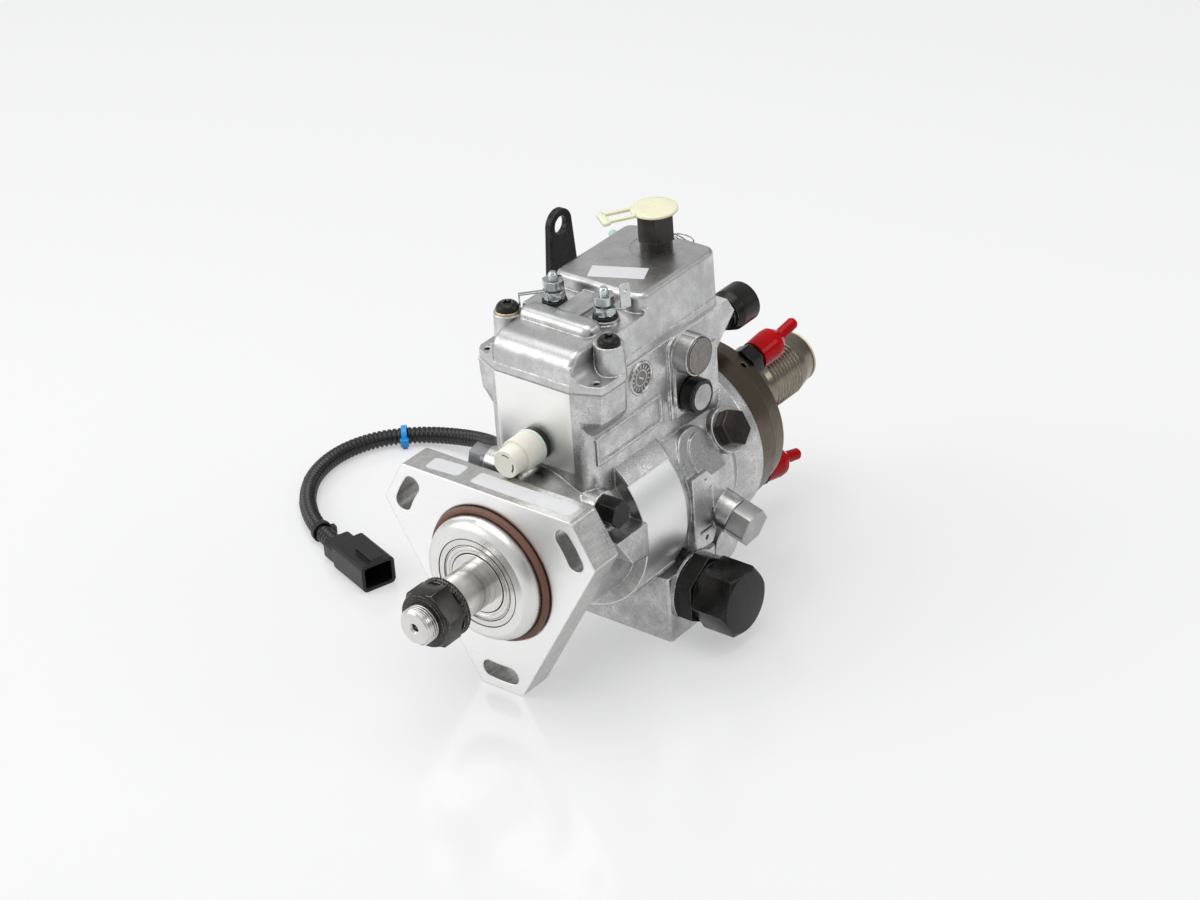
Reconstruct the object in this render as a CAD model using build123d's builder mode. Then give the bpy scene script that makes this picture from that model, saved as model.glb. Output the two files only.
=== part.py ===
from build123d import *
from math import cos, pi, radians, sin, tan
import os

# Rotary distributor injection pump for a small diesel engine.
# Frame: the origin is where the shaft axis meets the mounting face of the flange,
# X points to the right of the shaft end, Y back along the shaft, Z up. Sizes in millimetres.

os.makedirs("parts", exist_ok=True)

# Fits
slip = 0.05
seat_gap = 0.1

# Mounting flange and pilot boss
flange_apothem = 49.2
flange_reach = 74.0
flange_thickness = 20.0
flange_corner = 2.5
slot_pitch_radius = 63.5
slot_width = 10.4
slot_half_sweep = 6.4
pilot_radius = 36.2
pilot_length = 12.2
pilot_face_radius = 31.5
pilot_wall_length = 5.5
pilot_ring_section = 2.0
pilot_ring_seat = 35.6
pilot_ring_recess = 40.2
recess_depth = 0.6

# Shaft and its ball bearing, 25 x 52 x 15
shaft_radius = 12.5
shaft_nose = 63.0
thread_radius = 10.2
shaft_centre_hole = 2.1
nut_flats = 30.0
nut_front = 55.0
nut_height = 14.0
washer_radius = 16.4
washer_thickness = 2.0
bearing_radius = 26.0
bearing_width = 15.0
bearing_inner_edge = 17.0
bearing_outer_edge = 22.4
ball_radius = 3.9
ball_count = 9
seal_radius = 20.0
seal_land_radius = 14.0
journal_radius = 11.0

# Casting: neck, drum, governor box
neck_radius = 43.0
drum_front = 66.0
band_back = 102.0
band_radius = 53.0
band_step = 1.2
band_angle = 37.5
drum_radius = 49.5
drum_waist_radius = 46.8
drum_lip_radius = 52.9
drum_back = 172.5
drum_waist = drum_back - 16.5
head_bore_radius = 40.0
head_bore_front = 121.5
cam_bore_radius = 33.0
cam_bore_front = 92.0
cavity_radius = 36.0
cavity_front = 32.0
box_front = 44.0
box_back = 168.0
box_half_width = 34.0
box_corner = 12.0
box_wall = 7.0
box_floor = 22.0
box_top = 94.0
gasket_thickness = 0.8

# Advance block under the drum
block_front = 85.0
block_length = 44.0
block_half_width = 50.3
block_bottom = 74.0
block_top = 34.0
advance_height = 48.0
piston_radius = 12.8
piston_length = 52.0
cap_flats = 36.0
cap_flange = 10.0
cap_face_radius = 16.8

# Cover
cover_rim = 4.5
cover_top = 125.3
cover_deck = 117.2
cover_half_top = 29.8
cover_half_rim = 33.2
cover_front = 44.0
cover_back = 170.5
hump_front = 103.0
bulge_top = cover_deck + 3.4
port_recess = 0.4
terminal_x = 17.0
terminal_y = 88.0
screw_x = 33.8
screw_y = 69.0
rear_screw_y = 173.0
tower_radius = 7.7
tower_top = cover_deck - 2
screw_radius = 3.0
screw_head_radius = 5.9
screw_head_height = 5.0

# Head, delivery fittings and inlet
ring_front = drum_back
ring_radius = 51.3
ring_step = ring_front + 16.5
ring_step_radius = 49.6
ring_back = ring_front + 26.9
ring_back_radius = 47.7
rotor_radius = 9.5
pump_pocket_depth = 13.0
outlet_radius = 41.0
outlet_angles = (60, 180, -60)
outlet_tilt = 8.0
outlet_flats = 17.0
outlet_nut = 9.3
outlet_stem_radius = 5.4
inlet_radius = 17.5
inlet_end_radius = 15.4
inlet_back = 276.0
inlet_bore = 11.5

# Governor arm and metering valve
arm_y = 58.0
arm_z = 46.0
arm_pin_radius = 3.0
valve_x = -12.0
valve_y = 130.0
valve_radius = 4.0

# Levers and plugs
throttle_y = 129.5
throttle_z = 82.5
throttle_radius = 6.0
lever_x = -44.0
lever_thickness = 4.0
lever_length = 54.4
pad_x = 52.0
head_screw_y = 151.0
head_screw_angles = (30, 150, -90)
head_screw_flats = 19.0
side_port_y = 137.0
side_port_angle = -16.5
sensor_y = 146.0
sensor_angle = 196.5
adjuster_x = 17.0
adjuster_z = 72.0

# Lead
conduit_radius = 5.25
conduit_bore = 4.0
# Where the conduit runs, from the sensor to the connector, chosen by hand
conduit_route = [
    (-79.0, 146.0, -23.4),
    (-101.4, 146.0, -30.0),
    (-121.8, 154.2, -39.9),
    (-138.4, 171.0, -52.6),
    (-160.0, 183.9, -60.7),
    (-185.6, 186.9, -66.4),
    (-210.8, 179.0, -68.6),
    (-229.9, 160.8, -68.65),
    (-238.2, 135.7, -68.65),
    (-234.5, 109.6, -68.65),
    (-220.6, 87.1, -68.65),
    (-203.2, 71.6, -68.65),
    (-184.0, 61.0, -68.65),
    (-164.5, 54.6, -68.65),
]


def across(y, x=0.0, z=0.0):
    """Plane across the shaft: local x is +X, local y is +Z. A negative extrude runs back along +Y."""
    return Plane(origin=(x, y, z), x_dir=(1, 0, 0), z_dir=(0, -1, 0))


def beside(x, y=0.0, z=0.0):
    """Plane across X: local x is +Y, local y is +Z, and a positive extrude runs to +X."""
    return Plane(origin=(x, y, z), x_dir=(0, 1, 0), z_dir=(1, 0, 0))


def level(z, x=0.0, y=0.0):
    """Level plane at a height: local x is +X, local y is +Y."""
    return Plane(origin=(x, y, z))


def spun(points, angle):
    """The same outline, spun about the plane's own origin."""
    c, s = cos(radians(angle)), sin(radians(angle))
    return [(x * c - y * s, x * s + y * c) for x, y in points]


def radial(angle, y, reach=0.0):
    """Plane that faces out of the drum at an angle from +X, with its local x along +Y."""
    out = Vector(cos(radians(angle)), 0, sin(radians(angle)))
    return Plane(origin=out * reach + Vector(0, y, 0), x_dir=(0, 1, 0), z_dir=out)


def turn(stations, origin=(0, 0, 0), direction=(0, 1, 0), mode=Mode.ADD):
    """Turn a closed outline of (distance along the axis, radius) stations into the part being built."""
    along = Vector(*direction).normalized()
    helper = Vector(1, 0, 0) if abs(along.X) < 0.7 else Vector(0, 0, 1)
    with BuildSketch(Plane(origin=origin, x_dir=along, z_dir=along.cross(helper))) as section:
        with BuildLine():
            Polyline(*stations, close=True)
        make_face()
    return revolve(section.sketch, axis=Axis(origin, tuple(along)), mode=mode)


def rod(radius, start, end, origin=(0, 0, 0), direction=(0, 1, 0), mode=Mode.ADD):
    """A plain cylinder from start to end along an axis."""
    return turn([(start, 0), (start, radius), (end, radius), (end, 0)], origin, direction, mode)


def tube(outer, inner, start, end, origin=(0, 0, 0), direction=(0, 1, 0), mode=Mode.ADD):
    """A plain ring from start to end along an axis."""
    return turn([(start, inner), (start, outer), (end, outer), (end, inner)], origin, direction, mode)


def hexagon(flats, plane, length, turned_by=0.0, mode=Mode.ADD):
    """A hexagon bar that rises from a plane."""
    with BuildSketch(plane) as outline:
        RegularPolygon(radius=flats / 2, side_count=6, major_radius=False, rotation=turned_by)
    return extrude(outline.sketch, amount=length, mode=mode)


def prism(points, plane, length, mode=Mode.ADD):
    """A straight prism on a closed outline."""
    with BuildSketch(plane) as outline:
        with BuildLine():
            Polyline(*points, close=True)
        make_face()
    return extrude(outline.sketch, amount=length, mode=mode)


def finish(part, name):
    """Label a finished piece and write it."""
    part.label = name
    export_step(part, f"parts/{name}.step")


cover_level = box_top + gasket_thickness
bearing_front = -pilot_length + 0.2
bearing_back = bearing_front + bearing_width
block_middle = block_front + block_length / 2
throttle_origin = (0, throttle_y, throttle_z)
advance_origin = (0, block_middle, -advance_height)
sensor_seat = drum_radius + 9.0
side_port_seat = drum_radius + 12.5
head_screw_seat = drum_lip_radius + 0.8

# Rounded arch over the timing pad, leaning back towards the drum, with a raised face
with BuildPart() as arch:
    for middle, top, half_width, lean in ((125, 37, 15.5, 0), (128.5, 33.6, 11, 1.1)):
        with BuildSketch(beside(28)) as arch_outline:
            with Locations((middle, top - 21)):
                SlotOverall(42, 2 * half_width, rotation=90)
        leaning = extrude(arch_outline.sketch, amount=23 + lean, mode=Mode.PRIVATE)
        slope = [(26, top - 50), (51 + lean, top - 50), (51 + lean, 12), (38 + lean, 36), (38 + lean, 45), (26, 45)]
        add(leaning & prism(slope, across(90), -60, Mode.PRIVATE))

# Housing: one casting with the flange, the governor box, the drum and the advance block
with BuildPart() as housing:
    with BuildSketch(across(0)) as flange_outline:
        RegularPolygon(radius=flange_apothem, side_count=3, major_radius=False, rotation=30)
        RegularPolygon(radius=flange_reach, side_count=3, major_radius=False, rotation=90, mode=Mode.INTERSECT)
        fillet(flange_outline.vertices(), flange_corner)
    extrude(amount=-flange_thickness)
    tube(pilot_ring_recess, pilot_ring_seat, -1, recess_depth, mode=Mode.SUBTRACT)
    # Pilot boss with its rounded nose
    with BuildSketch(Plane.YZ) as pilot_section:
        with BuildLine():
            Line((1, 0), (1, pilot_ring_seat))
            Line((1, pilot_ring_seat), (recess_depth - 4.2, pilot_ring_seat))
            Line((recess_depth - 4.2, pilot_ring_seat), (recess_depth - 4.2, pilot_radius))
            Line((recess_depth - 4.2, pilot_radius), (-pilot_wall_length, pilot_radius))
            TangentArc((-pilot_wall_length, pilot_radius), (-pilot_length, pilot_face_radius), tangent=(-1, 0))
            Line((-pilot_length, pilot_face_radius), (-pilot_length, 0))
            Line((-pilot_length, 0), (1, 0))
        make_face()
    revolve(axis=Axis.Y)
    # Neck, drum and the lip that the head seats on
    turn([
        (flange_thickness - 1, 0), (flange_thickness - 1, neck_radius), (drum_front, neck_radius + 2),
        (drum_front, band_radius + band_step), (band_back, band_radius + band_step),
        (band_back, drum_radius + 1), (drum_waist - 6, drum_radius), (drum_waist, drum_waist_radius),
        (drum_back - 6.5, drum_lip_radius), (drum_back, drum_lip_radius), (drum_back, 0),
    ])
    # Machined band round the right side of the drum
    with BuildSketch(across(drum_front)) as band:
        Circle(band_radius + 8)
        Circle(band_radius, mode=Mode.SUBTRACT)
        with BuildLine():
            Polyline((0, 0), (90, 90 * tan(radians(band_angle))), (90, -90 * tan(radians(band_angle))), close=True)
        make_face(mode=Mode.INTERSECT)
    extrude(amount=-(band_back - drum_front), mode=Mode.SUBTRACT)
    # Governor box
    with BuildSketch(Plane.XY) as box_plan:
        with Locations((0, (box_front + box_back) / 2)):
            RectangleRounded(2 * box_half_width, box_back - box_front, box_corner)
    extrude(amount=box_top)
    # Flared corners under the two front screws of the cover
    for side in (1, -1):
        for height, flare in ((box_top, 8.4), (box_top - 17, 7.0), (box_top - 26, 0.3)):
            with BuildSketch(level(height)):
                with BuildLine():
                    Polyline((side * 15, cover_front + 0.2), (side * 24.5, cover_front + 0.2),
                             (side * (box_half_width + flare - 0.9), 51), (side * (box_half_width + flare), 55),
                             (side * (box_half_width + flare), 70), (side * (box_half_width - 0.2), 80.5),
                             (side * 15, 80.5), close=True)
                make_face()
        loft(ruled=True)
    # Boss of the rear adjuster and of the rear cover screw
    prism([(box_back - 12, box_top), (172, box_top), (178, 84.5), (box_back - 3, 73), (box_back - 12, 64)],
          beside(3), box_half_width - 3.4)
    prism([(box_back - 6, box_top), (rear_screw_y + 7, box_top), (rear_screw_y + 7, 88), (box_back - 6, 74)],
          beside(-8), 16)
    # Advance block
    with BuildSketch(level(-block_bottom)) as block_plan:
        with Locations((0, block_middle)):
            RectangleRounded(2 * block_half_width, block_length, 2)
    extrude(amount=block_bottom - block_top)
    # Timing pad and the cast arch above it
    prism([(109, 17), (122, 17), (139, -3), (124.5, -29), (109, -29), (101, -20), (101, 20)],
          beside(30), pad_x - 30 - 5)
    prism([(109, 17), (122, 17), (139, -3), (124.5, -29), (109, -29)], beside(40), pad_x - 40)
    add(arch.part)
    # Wedge under the vent plug and the plug's own boss
    prism([(40, 14), (drum_front, 14), (drum_front, -6), (52, -4)], beside(30), 24)
    rod(10, 28, 38.5, (0, 50, 26), (1, 0, 0))
    # Bosses of the throttle shaft, the side plug, the grey plug and the front port
    rod(11.4, -41, 45.3, throttle_origin, (1, 0, 0))
    rod(10.6, 30, box_half_width + 1.2, (0, 131.5, 56), (1, 0, 0))
    rod(8, -22, -8, (0, 33, 45.5), (1, 0, 0))
    prism([(28, 30), (box_front + 2, 30), (box_front + 2, 50), (36, 50), (27, 46)], beside(-16), 8)
    # Radial bosses: head screws, side port and the sensor on the far side
    for angle in head_screw_angles:
        rod(13, head_bore_radius + 3, head_screw_seat, (0, head_screw_y, 0), (cos(radians(angle)), 0, sin(radians(angle))))
    for angle, y, seat in ((side_port_angle, side_port_y, side_port_seat), (sensor_angle, sensor_y, sensor_seat)):
        rod(11, head_bore_radius + 3, seat, (0, y, 0), (cos(radians(angle)), 0, sin(radians(angle))))
    rod(10.5, 20, 45, (0, 146, -44), (1, 0, 0))
    # Raised frame for a plate, round pad and double rib on the right side
    with BuildSketch(beside(box_half_width - 1)) as plate_frame:
        with Locations((80.5, 57.5)):
            RectangleRounded(57, 17, 1)
            RectangleRounded(53.6, 13.6, 0.6, mode=Mode.SUBTRACT)
        with Locations((93, 83)):
            Circle(9.4)
            Circle(8.2, mode=Mode.SUBTRACT)
    extrude(amount=2)
    # Raised panel round the two right plugs, in two steps
    prism([(116, 46), (158, 46), (158, box_top), (122, box_top), (117, 91), (116, 86)], beside(30), box_half_width - 28.6)
    prism([(119.2, 46), (157, 46), (157, 77), (121, 80), (119.2, 78)], beside(30), box_half_width - 27.6)
    rod(10.8, box_half_width + 1.2, 60, (0, 131.5, 56), (1, 0, 0), Mode.SUBTRACT)
    # Openings: bearing seat, seal bore, governor and head bore
    turn([
        (-pilot_length - 1, 0), (-pilot_length - 1, bearing_radius + slip), (bearing_back, bearing_radius + slip),
        (bearing_back, seal_radius + slip), (cavity_front, seal_radius + slip),
        (cavity_front, cavity_radius), (cam_bore_front, cavity_radius),
        (cam_bore_front, cam_bore_radius), (head_bore_front, cam_bore_radius),
        (head_bore_front, head_bore_radius), (drum_back + 1, head_bore_radius), (drum_back + 1, 0),
    ], mode=Mode.SUBTRACT)
    with BuildSketch(level(box_floor)) as box_room:
        with Locations((0, (box_front + box_back) / 2)):
            RectangleRounded(2 * (box_half_width - box_wall), box_back - box_front - 2 * box_wall - 4, 4)
    extrude(amount=box_top - box_floor + 1, mode=Mode.SUBTRACT)
    prism([(49, box_floor), (54, box_floor), (54, 66), (49, 66)], beside(-22), 44, Mode.SUBTRACT)
    # Spot faces of the advance cap and the vent plug
    rod(10.2, 38.5, 60, (0, 50, 26), (1, 0, 0), Mode.SUBTRACT)
    rod(20.6, block_half_width, 70, advance_origin, (1, 0, 0), Mode.SUBTRACT)
    # Curved mounting slots
    for angle in (-90, 30, 150):
        with BuildSketch(across(-1)) as slot:
            with BuildLine() as slot_line:
                CenterArc((0, 0), slot_pitch_radius, angle - slot_half_sweep, 2 * slot_half_sweep)
            SlotArc(slot_line.edges()[0], slot_width)
        extrude(amount=-(flange_thickness + 2), mode=Mode.SUBTRACT)
    # Throttle bore, side plug bore, front port, adjuster bore
    rod(throttle_radius + slip, -60, 60, throttle_origin, (1, 0, 0), Mode.SUBTRACT)
    rod(10.4 + seat_gap, 41.3, 60, throttle_origin, (1, 0, 0), Mode.SUBTRACT)
    rod(8, 26, 60, (0, 131.5, 56), (1, 0, 0), Mode.SUBTRACT)
    rod(6, box_front - 2, box_front + box_wall + 4, (1, 0, 58), (0, 1, 0), Mode.SUBTRACT)
    rod(4 + slip, box_back - 12, 180, (adjuster_x, 0, adjuster_z), (0, 1, 0), Mode.SUBTRACT)
    # Advance bore with the way through for the advance pin
    rod(piston_radius + slip, -60, 60, advance_origin, (1, 0, 0), Mode.SUBTRACT)
    prism([(-10.5, -28), (10.5, -28), (10.5, -advance_height), (-10.5, -advance_height)],
          across(block_middle - 6), -12, Mode.SUBTRACT)
    # Bore of the governor arm's pin
    rod(arm_pin_radius + slip, -box_half_width + 3, box_half_width - 3, (0, arm_y, arm_z), (1, 0, 0), Mode.SUBTRACT)
    # Threaded holes: head screws, side port, sensor, vent, grey plug, cover screws
    for angle in head_screw_angles:
        rod(5, head_bore_radius - 3, head_screw_seat + 1, (0, head_screw_y, 0),
            (cos(radians(angle)), 0, sin(radians(angle))), Mode.SUBTRACT)
    for angle, y, seat in ((side_port_angle, side_port_y, side_port_seat), (sensor_angle, sensor_y, sensor_seat)):
        rod(6, head_bore_radius - 3, seat + 1, (0, y, 0), (cos(radians(angle)), 0, sin(radians(angle))), Mode.SUBTRACT)
    rod(4, 20, 45, (0, 50, 26), (1, 0, 0), Mode.SUBTRACT)
    rod(4, -30, -8, (0, 33, 45.5), (1, 0, 0), Mode.SUBTRACT)
    for x, y in ((screw_x, screw_y), (-screw_x, screw_y), (0, rear_screw_y)):
        rod(screw_radius + seat_gap, box_top - 14, box_top + 1, (x, y, 0), (0, 0, 1), Mode.SUBTRACT)
    # Timing marks: an L-shaped groove between two dowel holes
    with BuildSketch(beside(pad_x)) as timing_marks:
        with Locations((125, -6)):
            Rectangle(3, 24)
        with Locations((119.8, -18.6)):
            Rectangle(12, 2)
        with Locations((120.5, 11), (119.3, -23.8)):
            Circle(1.5)
    extrude(amount=-1.6, mode=Mode.SUBTRACT)
finish(housing.part, "housing")

# Pilot seal, ball bearing and shaft seal
with BuildPart() as pilot_o_ring:
    with BuildSketch(Plane.YZ) as ring_section:
        with Locations((recess_depth - slip - pilot_ring_section, pilot_ring_seat + slip + pilot_ring_section)):
            Circle(pilot_ring_section)
    revolve(axis=Axis.Y)
finish(pilot_o_ring.part, "pilot_o_ring")

bearing_middle = (bearing_front + bearing_back) / 2
ball_path = (bearing_inner_edge + bearing_outer_edge) / 2
ball_plane = Plane(origin=(0, bearing_middle, 0), x_dir=(1, 0, 0), z_dir=(0, 1, 0))
with BuildPart(ball_plane) as bearing_outer_race:
    tube(bearing_radius, bearing_outer_edge, bearing_front, bearing_back)
    Torus(ball_path, ball_radius + slip, mode=Mode.SUBTRACT)
finish(bearing_outer_race.part, "bearing_outer_race")

with BuildPart(ball_plane) as bearing_inner_race:
    tube(bearing_inner_edge, shaft_radius + slip, bearing_front, bearing_back)
    Torus(ball_path, ball_radius + slip, mode=Mode.SUBTRACT)
finish(bearing_inner_race.part, "bearing_inner_race")

with BuildPart(ball_plane) as bearing_balls:
    with PolarLocations(ball_path, ball_count):
        Sphere(ball_radius)
finish(bearing_balls.part, "bearing_balls")

with BuildPart() as bearing_shield:
    tube(bearing_outer_edge - slip, bearing_inner_edge + 0.4, bearing_front + 0.4, bearing_front + 1.2)
finish(bearing_shield.part, "bearing_shield")

with BuildPart() as shaft_seal:
    tube(seal_radius, seal_land_radius + slip, bearing_back + 2, bearing_back + 9)
finish(shaft_seal.part, "shaft_seal")

# Drive shaft with its nut and the two lock washers
tang_start = 66.0
with BuildPart() as drive_shaft:
    turn([
        (-shaft_nose, 0), (-shaft_nose, thread_radius - 1.4), (-shaft_nose + 1.4, thread_radius),
        (-nut_front + nut_height + 2 * washer_thickness, thread_radius),
        (-nut_front + nut_height + 2 * washer_thickness, shaft_radius),
        (bearing_back + 0.2, shaft_radius), (bearing_back + 0.2, seal_land_radius),
        (cavity_front, seal_land_radius), (cavity_front, journal_radius), (tang_start, journal_radius),
        (tang_start, 0),
    ])
    prism([(-9, -4), (9, -4), (9, 4), (-9, 4)], across(tang_start - 1), -7)
    turn([(-shaft_nose - 1, 0), (-shaft_nose - 1, shaft_centre_hole + 1.6),
          (-shaft_nose + 1.2, shaft_centre_hole), (-shaft_nose + 6, shaft_centre_hole), (-shaft_nose + 7.5, 0)],
         mode=Mode.SUBTRACT)
finish(drive_shaft.part, "drive_shaft")

with BuildPart() as shaft_nut:
    hexagon(nut_flats, across(-nut_front), -nut_height, turned_by=12)
    turn([(-nut_front - 1, nut_flats / 2 - 0.6), (-nut_front - 1, nut_flats), (-nut_front + 2.2, nut_flats),
          (-nut_front + 1.4, nut_flats / 2 + 0.8)], mode=Mode.SUBTRACT)
    rod(thread_radius + slip, -nut_front - 2, -nut_front + nut_height + 1, mode=Mode.SUBTRACT)
finish(shaft_nut.part, "shaft_nut")

washer_front = -nut_front + nut_height
with BuildPart() as shaft_washers:
    for index in range(2):
        start = washer_front + index * washer_thickness
        tube(washer_radius - 0.5 + index * 0.5, thread_radius + slip, start + 0.02, start + washer_thickness - 0.02)
finish(shaft_washers.part, "shaft_washers")

# Governor cage, weights and the sleeve that they push
cage_back = 91.0
with BuildPart() as weight_cage:
    turn([(66, 31), (66, 33.5), (cage_back, 33.5), (cage_back, 12.1), (78, 12.1), (78, 16), (87, 16), (87, 31)])
    for angle in (0, 90):
        prism(spun([(-40, -7), (40, -7), (40, 7), (-40, 7)], angle), across(65), -18, Mode.SUBTRACT)
finish(weight_cage.part, "weight_cage")

with BuildPart() as governor_weights:
    tube(31 - slip, 18.5, 70, 87 - slip)
    for angle in (0, 90):
        prism(spun([(-40, -7.5), (40, -7.5), (40, 7.5), (-40, 7.5)], angle), across(69), -20, Mode.SUBTRACT)
    for angle in (45, 135, 225, 315):
        rod(3, 13.8, 24, (0, 69.5, 0), (cos(radians(angle)), 0, sin(radians(angle))))
finish(governor_weights.part, "governor_weights")

with BuildPart() as thrust_sleeve:
    turn([(46, journal_radius + slip), (46, 14), (61, 14), (61, 18), (64.5, 18), (64.5, journal_radius + slip)])
finish(thrust_sleeve.part, "thrust_sleeve")

with BuildPart() as governor_arm:
    rod(arm_pin_radius, -box_half_width + 4, box_half_width - 4, (0, arm_y, arm_z), (1, 0, 0))
    for side in (-1, 1):
        prism([(arm_y - 3, arm_z + 4), (arm_y + 2, arm_z + 4), (52, 22), (45, 14), (44.4, 3), (45.6, 1),
               (45.6, -4), (42.2, -4), (42.2, 12), (48, 20)], beside(side * 12), side * 5)
    prism([(arm_y - 5, arm_z - 5), (arm_y + 2.4, arm_z - 5), (arm_y + 4, arm_z + 26), (arm_y, arm_z + 26)],
          beside(-17), 34)
    rod(9, 30, 80, (0, 0, arm_z + 14), (0, 1, 0), Mode.SUBTRACT)
finish(governor_arm.part, "governor_arm")

# Distributor rotor with its rollers and plungers, and the cam ring round them
cam_front = block_middle - 10
with BuildPart() as distributor_rotor:
    turn([(73, 0), (73, 12), (cam_front, 12), (cam_front, 20), (cam_front + 19, 20), (cam_front + 19, rotor_radius),
          (ring_back - pump_pocket_depth + 6.8, rotor_radius), (ring_back - pump_pocket_depth + 6.8, 0)])
    prism([(-20, -4.1), (20, -4.1), (20, 4.1), (-20, 4.1)], across(60), -18, Mode.SUBTRACT)
    prism([(-30, -3.7), (-14.5, -3.7), (-14.5, 3.7), (-30, 3.7)], across(cam_front + 1.5), -16, Mode.SUBTRACT)
    prism([(14.5, -3.7), (30, -3.7), (30, 3.7), (14.5, 3.7)], across(cam_front + 1.5), -16, Mode.SUBTRACT)
    rod(3 + slip, -30, 30, (0, block_middle, 0), (1, 0, 0), Mode.SUBTRACT)
finish(distributor_rotor.part, "distributor_rotor")

with BuildPart() as cam_rollers:
    for side in (-1, 1):
        rod(3.5, cam_front + 1.8, cam_front + 17.2, (side * 19.8, 0, 0))
finish(cam_rollers.part, "cam_rollers")

with BuildPart() as pump_plungers:
    for side in (-1, 1):
        rod(3, 4, 16.2, (0, block_middle, 0), (side, 0, 0))
finish(pump_plungers.part, "pump_plungers")

with BuildPart() as cam_ring:
    with BuildSketch(across(cam_front)):
        Circle(cam_bore_radius - slip)
        Circle(23.6, mode=Mode.SUBTRACT)
        with PolarLocations(17.0, 6):
            Circle(9, mode=Mode.SUBTRACT)
    extrude(amount=-20)
    rod(3, 29, advance_height, (0, block_middle, 0), (0, 0, -1))
    with Locations((0, block_middle, -advance_height)):
        Sphere(4.6)
finish(cam_ring.part, "cam_ring")

with BuildPart() as advance_piston:
    rod(piston_radius, -piston_length / 2, piston_length / 2, advance_origin, (1, 0, 0))
    rod(4.6 + slip, advance_height - piston_radius - 2, advance_height + 5.5, (0, block_middle, 0), (0, 0, -1), Mode.SUBTRACT)
finish(advance_piston.part, "advance_piston")

# Hydraulic head, metering valve, transfer pump and inlet
pocket_front = ring_back - pump_pocket_depth
pocket_radius = 17.0
with BuildPart() as hydraulic_head:
    turn([
        (head_bore_front + 0.3, rotor_radius + slip), (head_bore_front + 0.3, head_bore_radius - slip),
        (ring_front, head_bore_radius - slip), (ring_front, ring_radius), (ring_step, ring_step_radius + 0.3),
        (ring_step, ring_step_radius), (ring_back, ring_back_radius), (ring_back, pocket_radius + slip),
        (pocket_front - 4, pocket_radius + slip), (pocket_front - 4, rotor_radius + slip),
    ])
    rod(valve_radius + slip, 14, 44, (valve_x, valve_y, 0), (0, 0, 1), Mode.SUBTRACT)
    for angle in head_screw_angles:
        rod(5.2, 36, 44, (0, head_screw_y, 0), (cos(radians(angle)), 0, sin(radians(angle))), Mode.SUBTRACT)
    for angle in outlet_angles:
        out = Vector(cos(radians(angle)), 0, sin(radians(angle)))
        axis = out * sin(radians(outlet_tilt)) + Vector(0, cos(radians(outlet_tilt)), 0)
        foot = out * outlet_radius + Vector(0, ring_back, 0)
        rod(outlet_stem_radius + slip, -13, 3, tuple(foot), tuple(axis), Mode.SUBTRACT)
    rod(1.85, ring_back_radius - 4, ring_radius + 2, (0, 193.5, 0), (cos(radians(57)), 0, sin(radians(57))), Mode.SUBTRACT)
    rod(3 + slip, ring_back - 8, ring_back + 1, (0, 0, 38.5), (0, 1, 0), Mode.SUBTRACT)
finish(hydraulic_head.part, "hydraulic_head")

with BuildPart() as metering_valve:
    rod(valve_radius, 14.3, 44, (valve_x, valve_y, 0), (0, 0, 1))
    prism([(valve_x - 4, valve_y - 4), (valve_x + 14, valve_y - 2.5), (valve_x + 14, valve_y + 2.5),
           (valve_x - 4, valve_y + 4)], level(42), 3)
    rod(1.5, 44, 52, (valve_x + 11.5, valve_y, 0), (0, 0, 1))
finish(metering_valve.part, "metering_valve")

with BuildPart() as transfer_pump_liner:
    with BuildSketch(across(pocket_front - 3.9)):
        Circle(pocket_radius)
        with Locations((0.9, 0)):
            Circle(13.6, mode=Mode.SUBTRACT)
    extrude(amount=-11)
finish(transfer_pump_liner.part, "transfer_pump_liner")

with BuildPart() as transfer_pump_rotor:
    tube(12.0, rotor_radius + slip, pocket_front - 3.7, pocket_front + 6.7)
    for angle in (0, 90, 180, 270):
        prism(spun([(11, -0.8), (12.5, -0.8), (12.5, 0.8), (11, 0.8)], angle), across(pocket_front - 3.7), -10.4)
finish(transfer_pump_rotor.part, "transfer_pump_rotor")

with BuildPart() as inlet_connector:
    turn([
        (pocket_front + 7.3, 0), (pocket_front + 7.3, pocket_radius), (ring_back + 0.5, pocket_radius),
        (ring_back + 0.5, inlet_radius + 1.2), (ring_back + 3, inlet_radius + 1.2), (232, inlet_radius - 0.6),
        (236, inlet_radius), (266, inlet_radius), (inlet_back, inlet_end_radius), (inlet_back, inlet_bore + slip),
        (inlet_back - 14, inlet_bore + slip), (inlet_back - 14, 5), (ring_back + 6, 5), (ring_back + 6, 0),
    ])
finish(inlet_connector.part, "inlet_connector")

with BuildPart() as inlet_plug:
    turn([(inlet_back - 12, 0), (inlet_back - 12, inlet_bore), (inlet_back - 1, inlet_bore),
          (inlet_back - 1, inlet_bore - 2), (inlet_back - 6, inlet_bore - 2.4), (inlet_back - 6, 0)])
finish(inlet_plug.part, "inlet_plug")

# Delivery fittings with their caps
with BuildPart() as delivery_nuts:
    for angle in outlet_angles:
        out = Vector(cos(radians(angle)), 0, sin(radians(angle)))
        axis = out * sin(radians(outlet_tilt)) + Vector(0, cos(radians(outlet_tilt)), 0)
        foot = out * outlet_radius + Vector(0, ring_back, 0)
        rod(outlet_stem_radius, -12.5, 1.5, tuple(foot), tuple(axis))
        hexagon(outlet_flats, Plane(origin=foot + axis * 1.3, x_dir=out.cross(Vector(0, 1, 0)), z_dir=axis),
                outlet_nut - 1.3)
        rod(6.6, outlet_nut - 1, 24, tuple(foot), tuple(axis))
finish(delivery_nuts.part, "delivery_nuts")

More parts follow.
